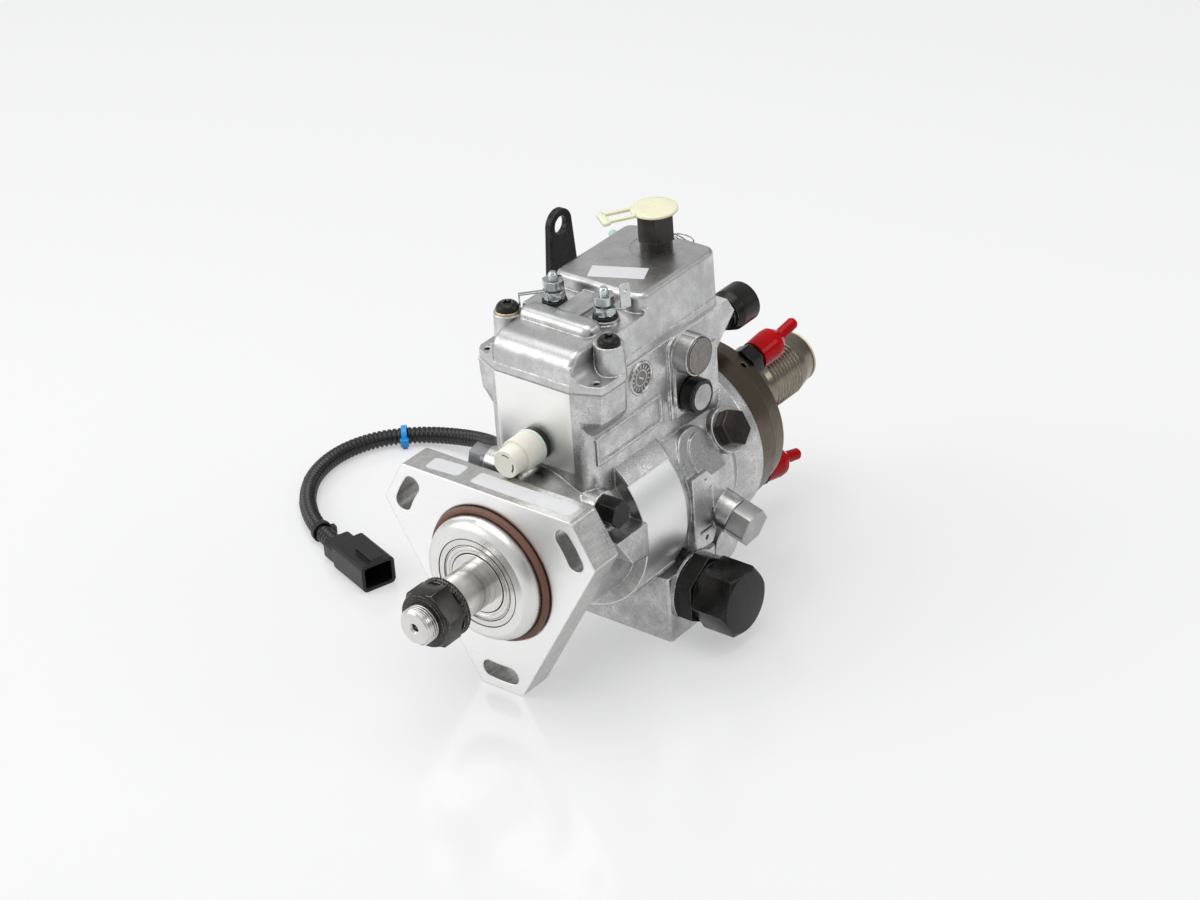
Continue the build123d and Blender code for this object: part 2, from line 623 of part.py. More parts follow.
with BuildPart() as delivery_caps:
    for angle in outlet_angles:
        out = Vector(cos(radians(angle)), 0, sin(radians(angle)))
        axis = out * sin(radians(outlet_tilt)) + Vector(0, cos(radians(outlet_tilt)), 0)
        foot = out * outlet_radius + Vector(0, ring_back, 0)
        turn([(11.5, 6.6 + slip), (11.5, 8.6), (24, 9.2), (27.5, 8.8), (31.5, 6), (33, 3.4), (33, 0), (26, 0),
              (26, 6.6 + slip)], tuple(foot), tuple(axis))
        lean = outlet_tilt + (20 if angle == outlet_angles[0] else 5)
        nipple = out * sin(radians(lean)) + Vector(0, cos(radians(lean)), 0)
        turn([(0, 0), (0, 3.7), (14.5, 3.4), (16, 2.4), (16, 0)], tuple(foot + axis * 30), tuple(nipple))
finish(delivery_caps.part, "delivery_caps")

with BuildPart() as ring_plug:
    rod(3, ring_back - 7, ring_back, (0, 0, 38.5))
    hexagon(9, across(ring_back, 0, 38.5), -5.5)
finish(ring_plug.part, "ring_plug")

# Head screws and the side plug
with BuildPart() as head_locking_screws:
    for angle in head_screw_angles:
        out = (cos(radians(angle)), 0, sin(radians(angle)))
        rod(4.9, 36.6, head_screw_seat + 0.5, (0, head_screw_y, 0), out)
        hexagon(head_screw_flats, radial(angle, head_screw_y, head_screw_seat), 6.3, turned_by=30)
finish(head_locking_screws.part, "head_locking_screws")

side_port_out = (cos(radians(side_port_angle)), 0, sin(radians(side_port_angle)))
with BuildPart() as side_plug:
    rod(5.9, head_bore_radius + 0.6, side_port_seat + 1, (0, side_port_y, 0), side_port_out)
    hexagon(20, radial(side_port_angle, side_port_y, side_port_seat), 12.5, turned_by=8)
finish(side_plug.part, "side_plug")

# Cover: cast lumps that blend into one another on a rim, with towers for the front screws
deck_share = (cover_deck - cover_level) / (cover_top - cover_level)
cover_half_deck = cover_half_rim + (cover_half_top - cover_half_rim) * deck_share
with BuildPart() as rear_hump:
    for height, half_width, front, corner in (
            (cover_level, cover_half_rim, hump_front - 3, 12), (cover_top, cover_half_top, hump_front, 6)):
        with BuildSketch(level(height)):
            with Locations((0, (front + cover_back) / 2)):
                RectangleRounded(2 * half_width, cover_back - front, corner)
    loft(ruled=True)
    fillet(rear_hump.faces().sort_by(Axis.Z)[-1].edges(), 3)

with BuildPart() as terminal_deck:
    for height, half_width in ((cover_level, cover_half_rim), (cover_deck, cover_half_deck)):
        with BuildSketch(level(height)):
            with Locations((0, 97)):
                Rectangle(2 * half_width, 38)
    loft(ruled=True)
    # Lower step on the right, and the raised bar between the terminals
    prism([(4, 70), (50, 70), (50, hump_front + 1), (4, hump_front + 1)], level(cover_deck - 2.4), 9, Mode.SUBTRACT)
    fillet(terminal_deck.edges().filter_by(Axis.Y).sort_by(Axis.X)[-1], 1.6)
    for x in (-terminal_x, terminal_x):
        rod(7.4, cover_deck - 9, cover_deck, (x, terminal_y, 0), (0, 0, 1))
    prism([(-11, cover_deck - 2.5), (4.4, cover_deck - 2.5), (0, bulge_top - 1.4), (-2, bulge_top - 0.6),
           (-7.4, bulge_top - 0.6), (-9, bulge_top - 1.4)], across(76), -(hump_front + 2 - 76))

with BuildPart() as front_bulge:
    with BuildSketch(level(cover_level)):
        with Locations((-2, 73.4)):
            RectangleRounded(52.8, 17.6, 7)
    extrude(amount=bulge_top - cover_level, taper=4.5)
    fillet(front_bulge.faces().sort_by(Axis.Z)[-1].edges(), 4.6)

with BuildPart() as front_shoulder:
    with BuildSketch(beside(-26)) as shoulder_section:
        with BuildLine():
            Polyline((84, tower_top), (84, cover_level), (cover_front, cover_level), (cover_front, tower_top), close=True)
        make_face()
        fillet(shoulder_section.vertices().sort_by_distance((cover_front, tower_top))[0], 10.5)
    extrude(amount=53)
    fillet(front_shoulder.edges().group_by(Axis.Y)[0], 2.5)

with BuildSketch() as rim_outline:
    with BuildLine():
        Polyline((-24, cover_front - 0.3), (26, cover_front - 0.3), (41.6, 50.6), (42.4, 55), (42.4, 69.6),
                 (cover_half_rim, 81.5), (cover_half_rim, cover_back), (-cover_half_rim, cover_back),
                 (-cover_half_rim, 81.5), (-42.4, 69.6), (-42.4, 55), (-40, 50.6), close=True)
    make_face()
    fillet(rim_outline.vertices().group_by(Axis.Y)[-1], 12)
    fillet(rim_outline.vertices().group_by(Axis.Y)[0], 4)
    with Locations((0, rear_screw_y)):
        Circle(tower_radius)
    with Locations((0, rear_screw_y - 6)):
        Rectangle(2 * tower_radius, 12)

# Hollow blend between the shoulder's sides and the lugs beside it
lug_level = cover_level + cover_rim
with BuildPart() as lug_coves:
    for side in (1, -1):
        with BuildSketch(across(cover_front)) as cove:
            with BuildLine():
                Line((side * 25, lug_level - 1), (side * 25, lug_level + 10))
                Line((side * 25, lug_level + 10), (side * 26.8, lug_level + 10))
                ThreePointArc((side * 26.8, lug_level + 10), (side * 29.2, lug_level + 2.9), (side * 35.5, lug_level))
                Line((side * 35.5, lug_level), (side * 35.5, lug_level - 1))
                Line((side * 35.5, lug_level - 1), (side * 25, lug_level - 1))
            make_face()
        extrude(cove.sketch, amount=-22)
    with BuildSketch(level(lug_level - 2)):
        add(rim_outline.sketch)
    extrude(amount=14, mode=Mode.INTERSECT)

with BuildPart() as governor_cover:
    with Locations((0, 0, cover_level)):
        add(rim_outline.sketch)
    extrude(amount=cover_rim)
    add(rear_hump.part)
    add(terminal_deck.part)
    add(front_bulge.part)
    add(front_shoulder.part)
    add(lug_coves.part)
    for x in (screw_x, -screw_x):
        turn([(cover_level, 0), (cover_level, tower_radius + 0.8), (tower_top, tower_radius), (tower_top, 0)],
             (x, screw_y, 0), (0, 0, 1))
    turn([(cover_level, 0), (cover_level, tower_radius), (tower_top, tower_radius - 0.4), (tower_top, 0)],
         (0, rear_screw_y, 0), (0, 0, 1))
    for x, y in ((screw_x, screw_y), (-screw_x, screw_y), (0, rear_screw_y)):
        rod(7.2, tower_top, tower_top + 15, (x, y, 0), (0, 0, 1), Mode.SUBTRACT)
    # Room under the lumps, screw holes, terminal holes and the return port
    for x_half, front, back, top in ((25, 108, 158, cover_top - 5), (25, 82, 110, cover_deck - 6), (21, 54, 84, 104)):
        with BuildSketch(level(cover_level - 1)) as room:
            with Locations((0, (front + back) / 2)):
                RectangleRounded(2 * x_half, back - front, 4)
        extrude(room.sketch, amount=top - cover_level + 1, mode=Mode.SUBTRACT)
    for x, y in ((screw_x, screw_y), (-screw_x, screw_y), (0, rear_screw_y)):
        rod(screw_radius + 0.3, cover_level - 2, tower_top + 2, (x, y, 0), (0, 0, 1), Mode.SUBTRACT)
    for x in (-terminal_x, terminal_x):
        rod(3.2, cover_deck - 10, cover_deck + 2, (x, terminal_y, 0), (0, 0, 1), Mode.SUBTRACT)
        rod(1.8, cover_level - 1, cover_level + 8, (2.15 * x, 53.4, 0), (0, 0, 1), Mode.SUBTRACT)
    rod(14.4, cover_top - port_recess, cover_top + 4, (1, 154.5, 0), (0, 0, 1), Mode.SUBTRACT)
    rod(6, cover_top - 9, cover_top + 4, (1, 154.5, 0), (0, 0, 1), Mode.SUBTRACT)
finish(governor_cover.part, "governor_cover")

with BuildPart() as cover_gasket:
    with Locations((0, 0, box_top)):
        add(rim_outline.sketch)
    extrude(amount=gasket_thickness)
    with BuildSketch(level(box_top - 1)) as gasket_room:
        with Locations((0, (box_front + box_back) / 2)):
            RectangleRounded(2 * (box_half_width - box_wall), box_back - box_front - 2 * box_wall - 4, 4)
    extrude(gasket_room.sketch, amount=3, mode=Mode.SUBTRACT)
    for x, y in ((screw_x, screw_y), (-screw_x, screw_y), (0, rear_screw_y)):
        rod(screw_radius + 0.3, box_top - 2, box_top + 3, (x, y, 0), (0, 0, 1), Mode.SUBTRACT)
finish(cover_gasket.part, "cover_gasket")

left_lift = 1.6
with BuildPart() as cover_screws:
    for x, y, lift in ((screw_x, screw_y, 0), (-screw_x, screw_y, left_lift), (0, rear_screw_y, 0)):
        turn([(box_top - 12, 0), (box_top - 12, screw_radius), (tower_top + lift, screw_radius),
              (tower_top + lift, screw_head_radius), (tower_top + lift + 3.4, screw_head_radius - 0.3),
              (tower_top + lift + screw_head_height, 3.4), (tower_top + lift + screw_head_height, 2.2),
              (tower_top + lift + 2, 2.2), (tower_top + lift + 2, 0)], (x, y, 0), (0, 0, 1))
finish(cover_screws.part, "cover_screws")

with BuildPart() as cover_screw_washers:
    for index in range(2):
        tube(7.0, screw_radius + seat_gap, tower_top + index * left_lift / 2 + 0.02,
             tower_top + (index + 1) * left_lift / 2 - 0.02, (-screw_x, screw_y, 0), (0, 0, 1))
finish(cover_screw_washers.part, "cover_screw_washers")

# Terminals and the shut-off solenoid under them
with BuildPart() as terminal_insulators:
    for x in (-terminal_x, terminal_x):
        turn([(cover_deck - 4, 2.55), (cover_deck - 4, 3.1), (cover_deck, 3.1), (cover_deck, 7), (cover_deck + 1.8, 6.6),
              (cover_deck + 1.8, 2.55)], (x, terminal_y, 0), (0, 0, 1))
finish(terminal_insulators.part, "terminal_insulators")

with BuildPart() as terminal_posts:
    for x in (-terminal_x, terminal_x):
        turn([(cover_deck - 5.8, 0), (cover_deck - 5.8, 2.5), (cover_deck + 16.2, 2.5), (cover_deck + 17.6, 1.6),
              (cover_deck + 17.6, 0)], (x, terminal_y, 0), (0, 0, 1))
        tube(5.6, 2.5, cover_deck + 1.9, cover_deck + 2.6, (x, terminal_y, 0), (0, 0, 1))
        hexagon(10.6, level(cover_deck + 2.6, x, terminal_y), 3.6, turned_by=x)
        hexagon(10.6, level(cover_deck + 8.6, x, terminal_y), 4.6, turned_by=20)
finish(terminal_posts.part, "terminal_posts")

# Spade tab on the right post, bent earth strap on the left one
tab_level = cover_deck + 6.3
with BuildPart() as terminal_tabs:
    for x in (-terminal_x, terminal_x):
        tube(5.9, 2.6, tab_level, tab_level + 0.8, (x, terminal_y, 0), (0, 0, 1))
    with Locations(Location((terminal_x + 8.3, terminal_y + 3.4, tab_level + 0.4), (0, 0, 22))):
        Box(6.2, 6.3, 0.8)
    spade = Plane(origin=(terminal_x + 10.3, terminal_y + 4.4, tab_level), x_dir=(0.28, 0.96, 0), z_dir=(0.96, -0.28, 0))
    prism([(-3.15, 0), (3.15, 0), (3.15, 13.4), (2, 14.6), (-2, 14.6), (-3.15, 13.4)], spade, 0.8)
    rod(1.2, -2, 4, tuple(spade.origin + Vector(0, 0, 10)), tuple(spade.z_dir), Mode.SUBTRACT)
    strap_end = Vector(-terminal_x - 13, terminal_y - 14, tab_level)
    strap_way = (strap_end - Vector(-terminal_x, terminal_y, tab_level)).normalized()
    strap_side = Vector(0, 0, 1).cross(strap_way)
    prism([(5.3, -1.2), (19.1, -1.2), (19.1, 1.2), (5.3, 1.2)],
          Plane(origin=(-terminal_x, terminal_y, tab_level), x_dir=strap_way, z_dir=(0, 0, 1)), 0.8)
    prism([(-1.2, 0), (1.2, 0), (1.2, -6), (-1.2, -6)],
          Plane(origin=strap_end - strap_way * 0.8, x_dir=strap_side, z_dir=strap_way), 0.8)
finish(terminal_tabs.part, "terminal_tabs")

with BuildPart() as shutoff_solenoid:
    with Locations((0, 96, cover_deck - 13)):
        Box(44, 24, 14)
finish(shutoff_solenoid.part, "shutoff_solenoid")

# Return fitting and its pull-out cap
with BuildPart() as return_fitting:
    turn([(cover_top - 8, 0), (cover_top - 8, 5.9), (cover_top - port_recess, 5.9), (cover_top - port_recess, 9),
          (131, 9), (131, 0)], (1, 154.5, 0), (0, 0, 1))
    hexagon(19, level(131, 1, 154.5), 16, turned_by=10)
    rod(5, 139, 150, (1, 154.5, 0), (0, 0, 1), Mode.SUBTRACT)
finish(return_fitting.part, "return_fitting")

with BuildPart() as return_cap:
    turn([(140, 0), (140, 4.9), (147.05, 4.9), (147.05, 13), (148.8, 13), (148.8, 0)], (1, 154.5, 0), (0, 0, 1))
    loop = Plane(origin=(1, 154.5, 147.4), x_dir=(-0.58, -0.815, -0.03), z_dir=(-0.0174, -0.0245, 1))
    with BuildSketch(loop) as loop_plan:
        with Locations((19, 0)):
            Rectangle(16, 11)
            Rectangle(26, 7, mode=Mode.SUBTRACT)
        with Locations((28.2, 0)):
            RectangleRounded(4.2, 15, 1)
    extrude(loop_plan.sketch, amount=1.4)
finish(return_cap.part, "return_cap")

# Plugs and the front port
with BuildPart() as throttle_shaft_plug:
    turn([(41.5, 0), (41.5, 10.4), (45.8, 10.4), (46.4, 9.8), (46.4, 0)], throttle_origin, (1, 0, 0))
finish(throttle_shaft_plug.part, "throttle_shaft_plug")

with BuildPart() as pivot_plug:
    turn([(27, 0), (27, 7.9), (box_half_width + 1.2, 7.9), (box_half_width + 1.2, 10), (44, 10), (44.8, 9.2), (44.8, 0)],
         (0, 131.5, 56), (1, 0, 0))
finish(pivot_plug.part, "pivot_plug")

with BuildPart() as vent_plug:
    rod(3.9, 22, 39, (0, 50, 26), (1, 0, 0))
    hexagon(14, beside(38.5, 50, 26), 11.5, turned_by=10)
finish(vent_plug.part, "vent_plug")

with BuildPart() as drain_plug:
    rod(3.9, 9, 22.5, (0, 33, 45.5), (-1, 0, 0))
    rod(7, 22, 25, (0, 33, 45.5), (-1, 0, 0))
    hexagon(13, beside(-24.8, 33, 45.5), -8.2, turned_by=15)
finish(drain_plug.part, "drain_plug")

with BuildPart() as front_port_fitting:
    turn([(22, 3), (22, 5.5), (41, 5.5), (41, 9.5), (box_front, 9.5), (box_front, 5.9), (54, 5.9), (54, 3)], (1, 0, 58))
finish(front_port_fitting.part, "front_port_fitting")

with BuildPart() as front_port_cap:
    turn([(17, 0), (17, 8), (26, 8), (26, 9.8), (40.4, 9.8), (40.4, 5.55), (21, 5.55), (21, 0)], (1, 0, 58))
finish(front_port_cap.part, "front_port_cap")

# Rear adjuster: screw, lock nut and sealed can
with BuildPart() as adjuster_screw:
    rod(4, 150, 213, (adjuster_x, 0, adjuster_z))
finish(adjuster_screw.part, "adjuster_screw")

with BuildPart() as adjuster_nut:
    hexagon(14, across(176.2, adjuster_x, adjuster_z), -12, turned_by=10)
    tube(9, 4 + slip, 188.2, 190, (adjuster_x, 0, adjuster_z))
    rod(4 + slip, 170, 195, (adjuster_x, 0, adjuster_z), mode=Mode.SUBTRACT)
finish(adjuster_nut.part, "adjuster_nut")

with BuildPart() as adjuster_cap:
    turn([(190.2, 4.05), (190.2, 10), (194.6, 11.8), (208, 11.8), (209.4, 10.4), (209.4, 4.05)],
         (adjuster_x, 0, adjuster_z))
finish(adjuster_cap.part, "adjuster_cap")

# Throttle shaft and lever on the left
with BuildPart() as throttle_shaft:
    turn([(-54, 0), (-54, 5), (-44, 5), (-44, 9), (-41.3, 9), (-41.3, throttle_radius),
          (40.8, throttle_radius), (40.8, 0)], throttle_origin, (1, 0, 0))
    hexagon(13, beside(-48.05, throttle_y, throttle_z), -5)
finish(throttle_shaft.part, "throttle_shaft")

with BuildPart() as throttle_lever:
    with BuildSketch(beside(lever_x)) as lever_plan:
        with BuildLine():
            Polyline((throttle_y - 12, throttle_z), (118.5, 112), (120.7, 137), (139.3, 137), (141.5, 112),
                     (throttle_y + 12, throttle_z), close=True)
        make_face()
        with Locations((throttle_y, throttle_z)):
            Circle(12)
        with Locations((130, throttle_z + lever_length)):
            Circle(9.3)
            Circle(5.2, mode=Mode.SUBTRACT)
        with Locations((throttle_y, throttle_z)):
            Circle(5.05, mode=Mode.SUBTRACT)
    extrude(amount=-lever_thickness)
finish(throttle_lever.part, "throttle_lever")

# Advance cap and its washer on the right, the plain plug on the left
cap_seat = block_half_width + 1.7
with BuildPart() as advance_cap_washer:
    tube(20.3, 13, block_half_width, cap_seat, advance_origin, (1, 0, 0))
finish(advance_cap_washer.part, "advance_cap_washer")

with BuildPart() as advance_cap:
    rod(piston_radius, 35, cap_seat + 1, advance_origin, (1, 0, 0))
    hexagon(cap_flats, beside(cap_seat, block_middle, -advance_height), cap_flange, turned_by=30)
    rod(16.5, cap_seat + 9, cap_seat + 13, advance_origin, (1, 0, 0))
    hexagon(35.4, beside(cap_seat + 12, block_middle, -advance_height), 21.5, turned_by=0)
    turn([(cap_seat + 31.5, 20.6), (cap_seat + 34, cap_face_radius), (cap_seat + 34, 24), (cap_seat + 31.5, 24)],
         advance_origin, (1, 0, 0), Mode.SUBTRACT)
finish(advance_cap.part, "advance_cap")

with BuildPart() as advance_plug:
    rod(piston_radius, 35, block_half_width + 1, advance_origin, (-1, 0, 0))
    hexagon(30, beside(-block_half_width, block_middle, -advance_height), -11, turned_by=30)
finish(advance_plug.part, "advance_plug")

# Speed sensor, conduit, ties and connector
sensor_out = (cos(radians(sensor_angle)), 0, sin(radians(sensor_angle)))
with BuildPart() as speed_sensor:
    rod(5.9, head_bore_radius + 0.8, sensor_seat + 1, (0, sensor_y, 0), sensor_out)
    hexagon(17, radial(sensor_angle, sensor_y, sensor_seat), 8, turned_by=30)
    turn([(sensor_seat + 7, 0), (sensor_seat + 7, 8), (84, 7.2), (87, 6.6), (87, conduit_radius + 0.12),
          (82, conduit_radius + 0.12), (82, 0)], (0, sensor_y, 0), sensor_out)
finish(speed_sensor.part, "speed_sensor")


def bend_radii(route):
    """Radius of each bend: the arc takes 0.45 of the shorter straight run beside it."""
    points = [Vector(*point) for point in route]
    radii = []
    for before, here, after in zip(points, points[1:], points[2:]):
        turned = (here - before).get_angle(after - here)
        shorter = min((here - before).length, (after - here).length)
        radii.append(0.45 * shorter / tan(radians(turned) / 2))
    return radii


conduit_radii = bend_radii(conduit_route)
with BuildPart() as conduit:
    with BuildLine() as conduit_line:
        FilletPolyline(*conduit_route, radius=conduit_radii)
    conduit_path = conduit_line.wire()
    with BuildSketch(Plane(origin=conduit_path @ 0, z_dir=conduit_path % 0)):
        Circle(conduit_radius)
        Circle(conduit_bore, mode=Mode.SUBTRACT)
    sweep(path=conduit_path)
finish(conduit.part, "conduit")
conduit_length = conduit_path.length
print("conduit length", round(conduit_length, 1), "bend radii", [round(radius, 1) for radius in conduit_radii])
print("conduit volume", round(conduit.part.volume), "section x length",
      round(pi * (conduit_radius ** 2 - conduit_bore ** 2) * conduit_length))


def along_conduit(share, out, width, name):
    """A tie round the conduit at a share of its length, with a square head on its side."""
    here = conduit_path @ share
    heading = conduit_path % share
    side = Vector(0, 0, 1).cross(heading).normalized()
    with BuildPart() as tie:
        tube(conduit_radius + 1.3, conduit_radius + 0.1, -width / 2, width / 2, tuple(here), tuple(heading))
        top = Plane(origin=here + side * (out * (conduit_radius + 1.2)), x_dir=heading, z_dir=side * out)
        with BuildSketch(top) as head:
            Rectangle(7, 6)
        extrude(head.sketch, amount=4.5)
    finish(tie.part, name)


along_conduit(0.50, -1, 4.8, "conduit_tie_blue")
along_conduit(0.93, -1, 4.0, "conduit_tie_black")

connector_heading = Vector(0.95, -0.312, 0).normalized()
connector_start = Vector(*conduit_route[-1]) - connector_heading * 3.5
connector_side = Vector(0, 0, 1).cross(connector_heading)
with BuildPart() as connector:
    rear = Plane(origin=connector_start, x_dir=connector_side, z_dir=connector_heading)
    with BuildSketch(rear) as rear_section:
        with Locations((0, 0.9)):
            RectangleRounded(18, 12.2, 3)
    extrude(rear_section.sketch, amount=16)
    with BuildSketch(rear.offset(14)) as front_section:
        with Locations((0, 3.4)):
            RectangleRounded(21.5, 17.2, 3)
    extrude(front_section.sketch, amount=33)
    with BuildSketch(rear.offset(29)) as mouth:
        with Locations((0, 3.4)):
            RectangleRounded(17.5, 13.2, 2)
    extrude(mouth.sketch, amount=20, mode=Mode.SUBTRACT)
    with BuildSketch(rear.offset(30)) as latch:
        with Locations((0, 13)):
            Rectangle(8, 3.4)
    extrude(latch.sketch, amount=17)
    rod(conduit_radius + 0.12, -1, 5, tuple(connector_start), tuple(connector_heading), Mode.SUBTRACT)
finish(connector.part, "connector")
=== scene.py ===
# %% [markdown]
# # A diesel injection pump, dressed for its portrait
# The solids come from the CAD frame: a cast body with a triangular flange, a governor cover, a head with
# capped fuel ports, a throttle lever and a loose sensor lead. Here they get their finishes, and the pieces
# that need small detail, such as the corrugated conduit, are modelled new and stand in for the plain solids.

# %% Load the frame
import bpy
import bmesh
from math import cos, pi, radians, sin, tau
from mathutils import Matrix, Vector


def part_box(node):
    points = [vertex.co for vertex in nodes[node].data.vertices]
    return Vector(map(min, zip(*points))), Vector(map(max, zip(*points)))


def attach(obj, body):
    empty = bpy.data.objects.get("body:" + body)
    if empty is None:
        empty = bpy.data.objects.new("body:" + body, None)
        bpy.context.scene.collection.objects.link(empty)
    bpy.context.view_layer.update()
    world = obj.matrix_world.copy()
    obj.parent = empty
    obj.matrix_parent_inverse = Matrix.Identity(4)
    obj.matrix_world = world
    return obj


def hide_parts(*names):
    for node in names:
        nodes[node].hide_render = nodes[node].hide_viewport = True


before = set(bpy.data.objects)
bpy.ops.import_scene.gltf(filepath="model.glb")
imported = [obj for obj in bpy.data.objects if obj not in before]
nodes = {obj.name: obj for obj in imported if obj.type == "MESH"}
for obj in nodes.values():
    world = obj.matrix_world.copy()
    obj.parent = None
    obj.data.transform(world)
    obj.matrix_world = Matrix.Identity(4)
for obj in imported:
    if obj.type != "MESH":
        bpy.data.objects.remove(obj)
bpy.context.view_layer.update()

# %% [markdown]
# ## The camera
# The pump was photographed from its front right, about 30 degrees above the bench, through a long lens. The
# camera's place and its three directions were solved from the round bearing, the flange and the bench, so
# they are set as a matrix. A pixel of the photograph then falls on the same spot of the model.

# %% Camera
camera_data = bpy.data.cameras.new("bench_camera")
camera_data.sensor_width = 36.0
camera_data.lens = 100.09
camera_data.clip_start = 0.05
camera_data.clip_end = 20.0
camera = bpy.data.objects.new("bench_camera", camera_data)
bpy.context.scene.collection.objects.link(camera)
right = Vector((0.7887, 0.6115, -0.0629))
up = Vector((-0.2664, 0.4322, 0.8615))
back = Vector((0.5540, -0.6627, 0.5038))
turned = Matrix((right, up, back)).transposed().to_4x4()
camera.matrix_world = Matrix.Translation((1.000712, -1.101038, 0.936922)) @ turned
bpy.context.scene.camera = camera
print("camera at", tuple(round(v, 3) for v in camera.matrix_world.translation))

# %% [markdown]
# ## Small helpers
# Every new piece goes through the same few steps: build a bmesh, turn it into an object at the origin, give
# it a material and let it ride on a body. A helper keeps those steps in one place.

# %% Helpers for pieces
def piece_from(mesh_in_work, name, material, body="casing", smooth=True):
    """Turn a bmesh in millimetres into an object in metres that rides on a body."""
    bmesh.ops.scale(mesh_in_work, vec=(0.001, 0.001, 0.001), verts=mesh_in_work.verts)
    bmesh.ops.recalc_face_normals(mesh_in_work, faces=mesh_in_work.faces)
    mesh = bpy.data.meshes.new(name)
    mesh_in_work.to_mesh(mesh)
    mesh_in_work.free()
    for face in mesh.polygons:
        face.use_smooth = smooth
    made = bpy.data.objects.new(name, mesh)
    bpy.context.scene.collection.objects.link(made)
    made.data.materials.append(material)
    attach(made, body)
    return made


def frame_on(origin, axis, first=None):
    """A matrix that takes local z to an axis through an origin, and local x near a first direction."""
    axis = Vector(axis).normalized()
    guess = Vector(first) if first else (Vector((0, 0, 1)) if abs(axis.z) < 0.9 else Vector((1, 0, 0)))
    across = (guess - axis * guess.dot(axis)).normalized()
    turned_on = Matrix((across, axis.cross(across), axis)).transposed().to_4x4()
    return Matrix.Translation(Vector(origin)) @ turned_on


def on_shaft(along, heading=1):
    """A place on the shaft's axis, facing back with heading 1 and forward with -1."""
    return frame_on((0, along, 0), (0, heading, 0))


def spun_shape(outline, steps=64, place=None):
    """A bmesh turned from (distance along the axis, radius) stations about the local z axis."""
    shape = bmesh.new()
    verts = [shape.verts.new((radius, 0, along)) for along, radius in outline]
    edges = [shape.edges.new(pair) for pair in zip(verts, verts[1:])]
    bmesh.ops.spin(shape, geom=verts + edges, cent=(0, 0, 0), axis=(0, 0, 1), angle=tau, steps=steps,
                   use_merge=True)
    bmesh.ops.remove_doubles(shape, verts=shape.verts, dist=0.0005)
    if place is not None:
        bmesh.ops.transform(shape, matrix=place, verts=shape.verts)
    return shape


def everything(shape):
    """All the elements of a bmesh, to hand to an operator."""
    return shape.verts[:] + shape.edges[:] + shape.faces[:]


def join_in(whole, part):
    """Add one bmesh to another, and free it."""
    carried = bpy.data.meshes.new("carried")
    part.to_mesh(carried)
    part.free()
    whole.from_mesh(carried)
    bpy.data.meshes.remove(carried)


def sharpen(made, angle=35):
    """Smooth shading that stops at edges sharper than an angle."""
    made.data.set_sharp_from_angle(angle=radians(angle))
    return made

# %% [markdown]
# ## Shared effects
# Three effects return on many finishes: a fine relief with slow patches of tone, edges made paler, partly as
# rubbed wear and partly as a painted highlight, and corners made darker, partly as dirt and partly as painted
# shade. Each is a node group, so a change to one reaches every metal.

# %% Group tools
def start_group(name, inputs, outputs):
    """An empty shader group with named inputs (name, default) and outputs."""
    group = bpy.data.node_groups.new(name, "ShaderNodeTree")
    for label, default in inputs:
        socket = group.interface.new_socket(label, in_out="INPUT", socket_type="NodeSocketFloat")
        socket.default_value = default
    for label in outputs:
        group.interface.new_socket(label, in_out="OUTPUT", socket_type="NodeSocketFloat")
    enter = group.nodes.new("NodeGroupInput")
    leave = group.nodes.new("NodeGroupOutput")
    return group, enter, leave


def calc(tree, operation, first, second=None, third=None, clamp=False):
    """A Math node; its inputs are sockets or plain numbers."""
    node = tree.nodes.new("ShaderNodeMath")
    node.operation = operation
    node.use_clamp = clamp
    for index, value in enumerate((first, second, third)):
        if value is None:
            continue
        if isinstance(value, (int, float)):
            node.inputs[index].default_value = value
        else:
            tree.links.new(value, node.inputs[index])
    return node.outputs[0]


def object_place(tree):
    """The Object coordinates socket, made once for each tree."""
    found = next((n for n in tree.nodes if n.bl_idname == "ShaderNodeTexCoord"), None)
    return (found or tree.nodes.new("ShaderNodeTexCoord")).outputs["Object"]


def noise(tree, scale, detail=4.0, roughness=0.55, stretch=None):
    """A noise value on Object coordinates; scale is a number or a socket, in cells per metre."""
    node = tree.nodes.new("ShaderNodeTexNoise")
    node.inputs["Detail"].default_value = detail
    node.inputs["Roughness"].default_value = roughness
    place = object_place(tree)
    if stretch:
        mapping = tree.nodes.new("ShaderNodeMapping")
        mapping.inputs["Scale"].default_value = stretch
        tree.links.new(place, mapping.inputs["Vector"])
        place = mapping.outputs["Vector"]
    tree.links.new(place, node.inputs["Vector"])
    if isinstance(scale, (int, float)):
        node.inputs["Scale"].default_value = scale
    else:
        tree.links.new(scale, node.inputs["Scale"])
    return node.outputs["Fac"]


def remap(tree, value, low, high, out_low=0.0, out_high=1.0):
    """A clamped Map Range from low..high to out_low..out_high."""
    node = tree.nodes.new("ShaderNodeMapRange")
    node.inputs["From Min"].default_value = low
    node.inputs["From Max"].default_value = high
    node.inputs["To Min"].default_value = out_low
    node.inputs["To Max"].default_value = out_high
    tree.links.new(value, node.inputs["Value"])
    return node.outputs["Result"]

# %% The three groups
relief, enter, leave = start_group("Fine relief", [("Grain per metre", 2500.0), ("Patches per metre", 60.0)],
                                   ["Height", "Patches"])
fine = noise(relief, enter.outputs["Grain per metre"], detail=3)
slow = noise(relief, enter.outputs["Patches per metre"], detail=6, roughness=0.65)
relief.links.new(fine, leave.inputs["Height"])
relief.links.new(remap(relief, slow, 0.35, 0.65), leave.inputs["Patches"])
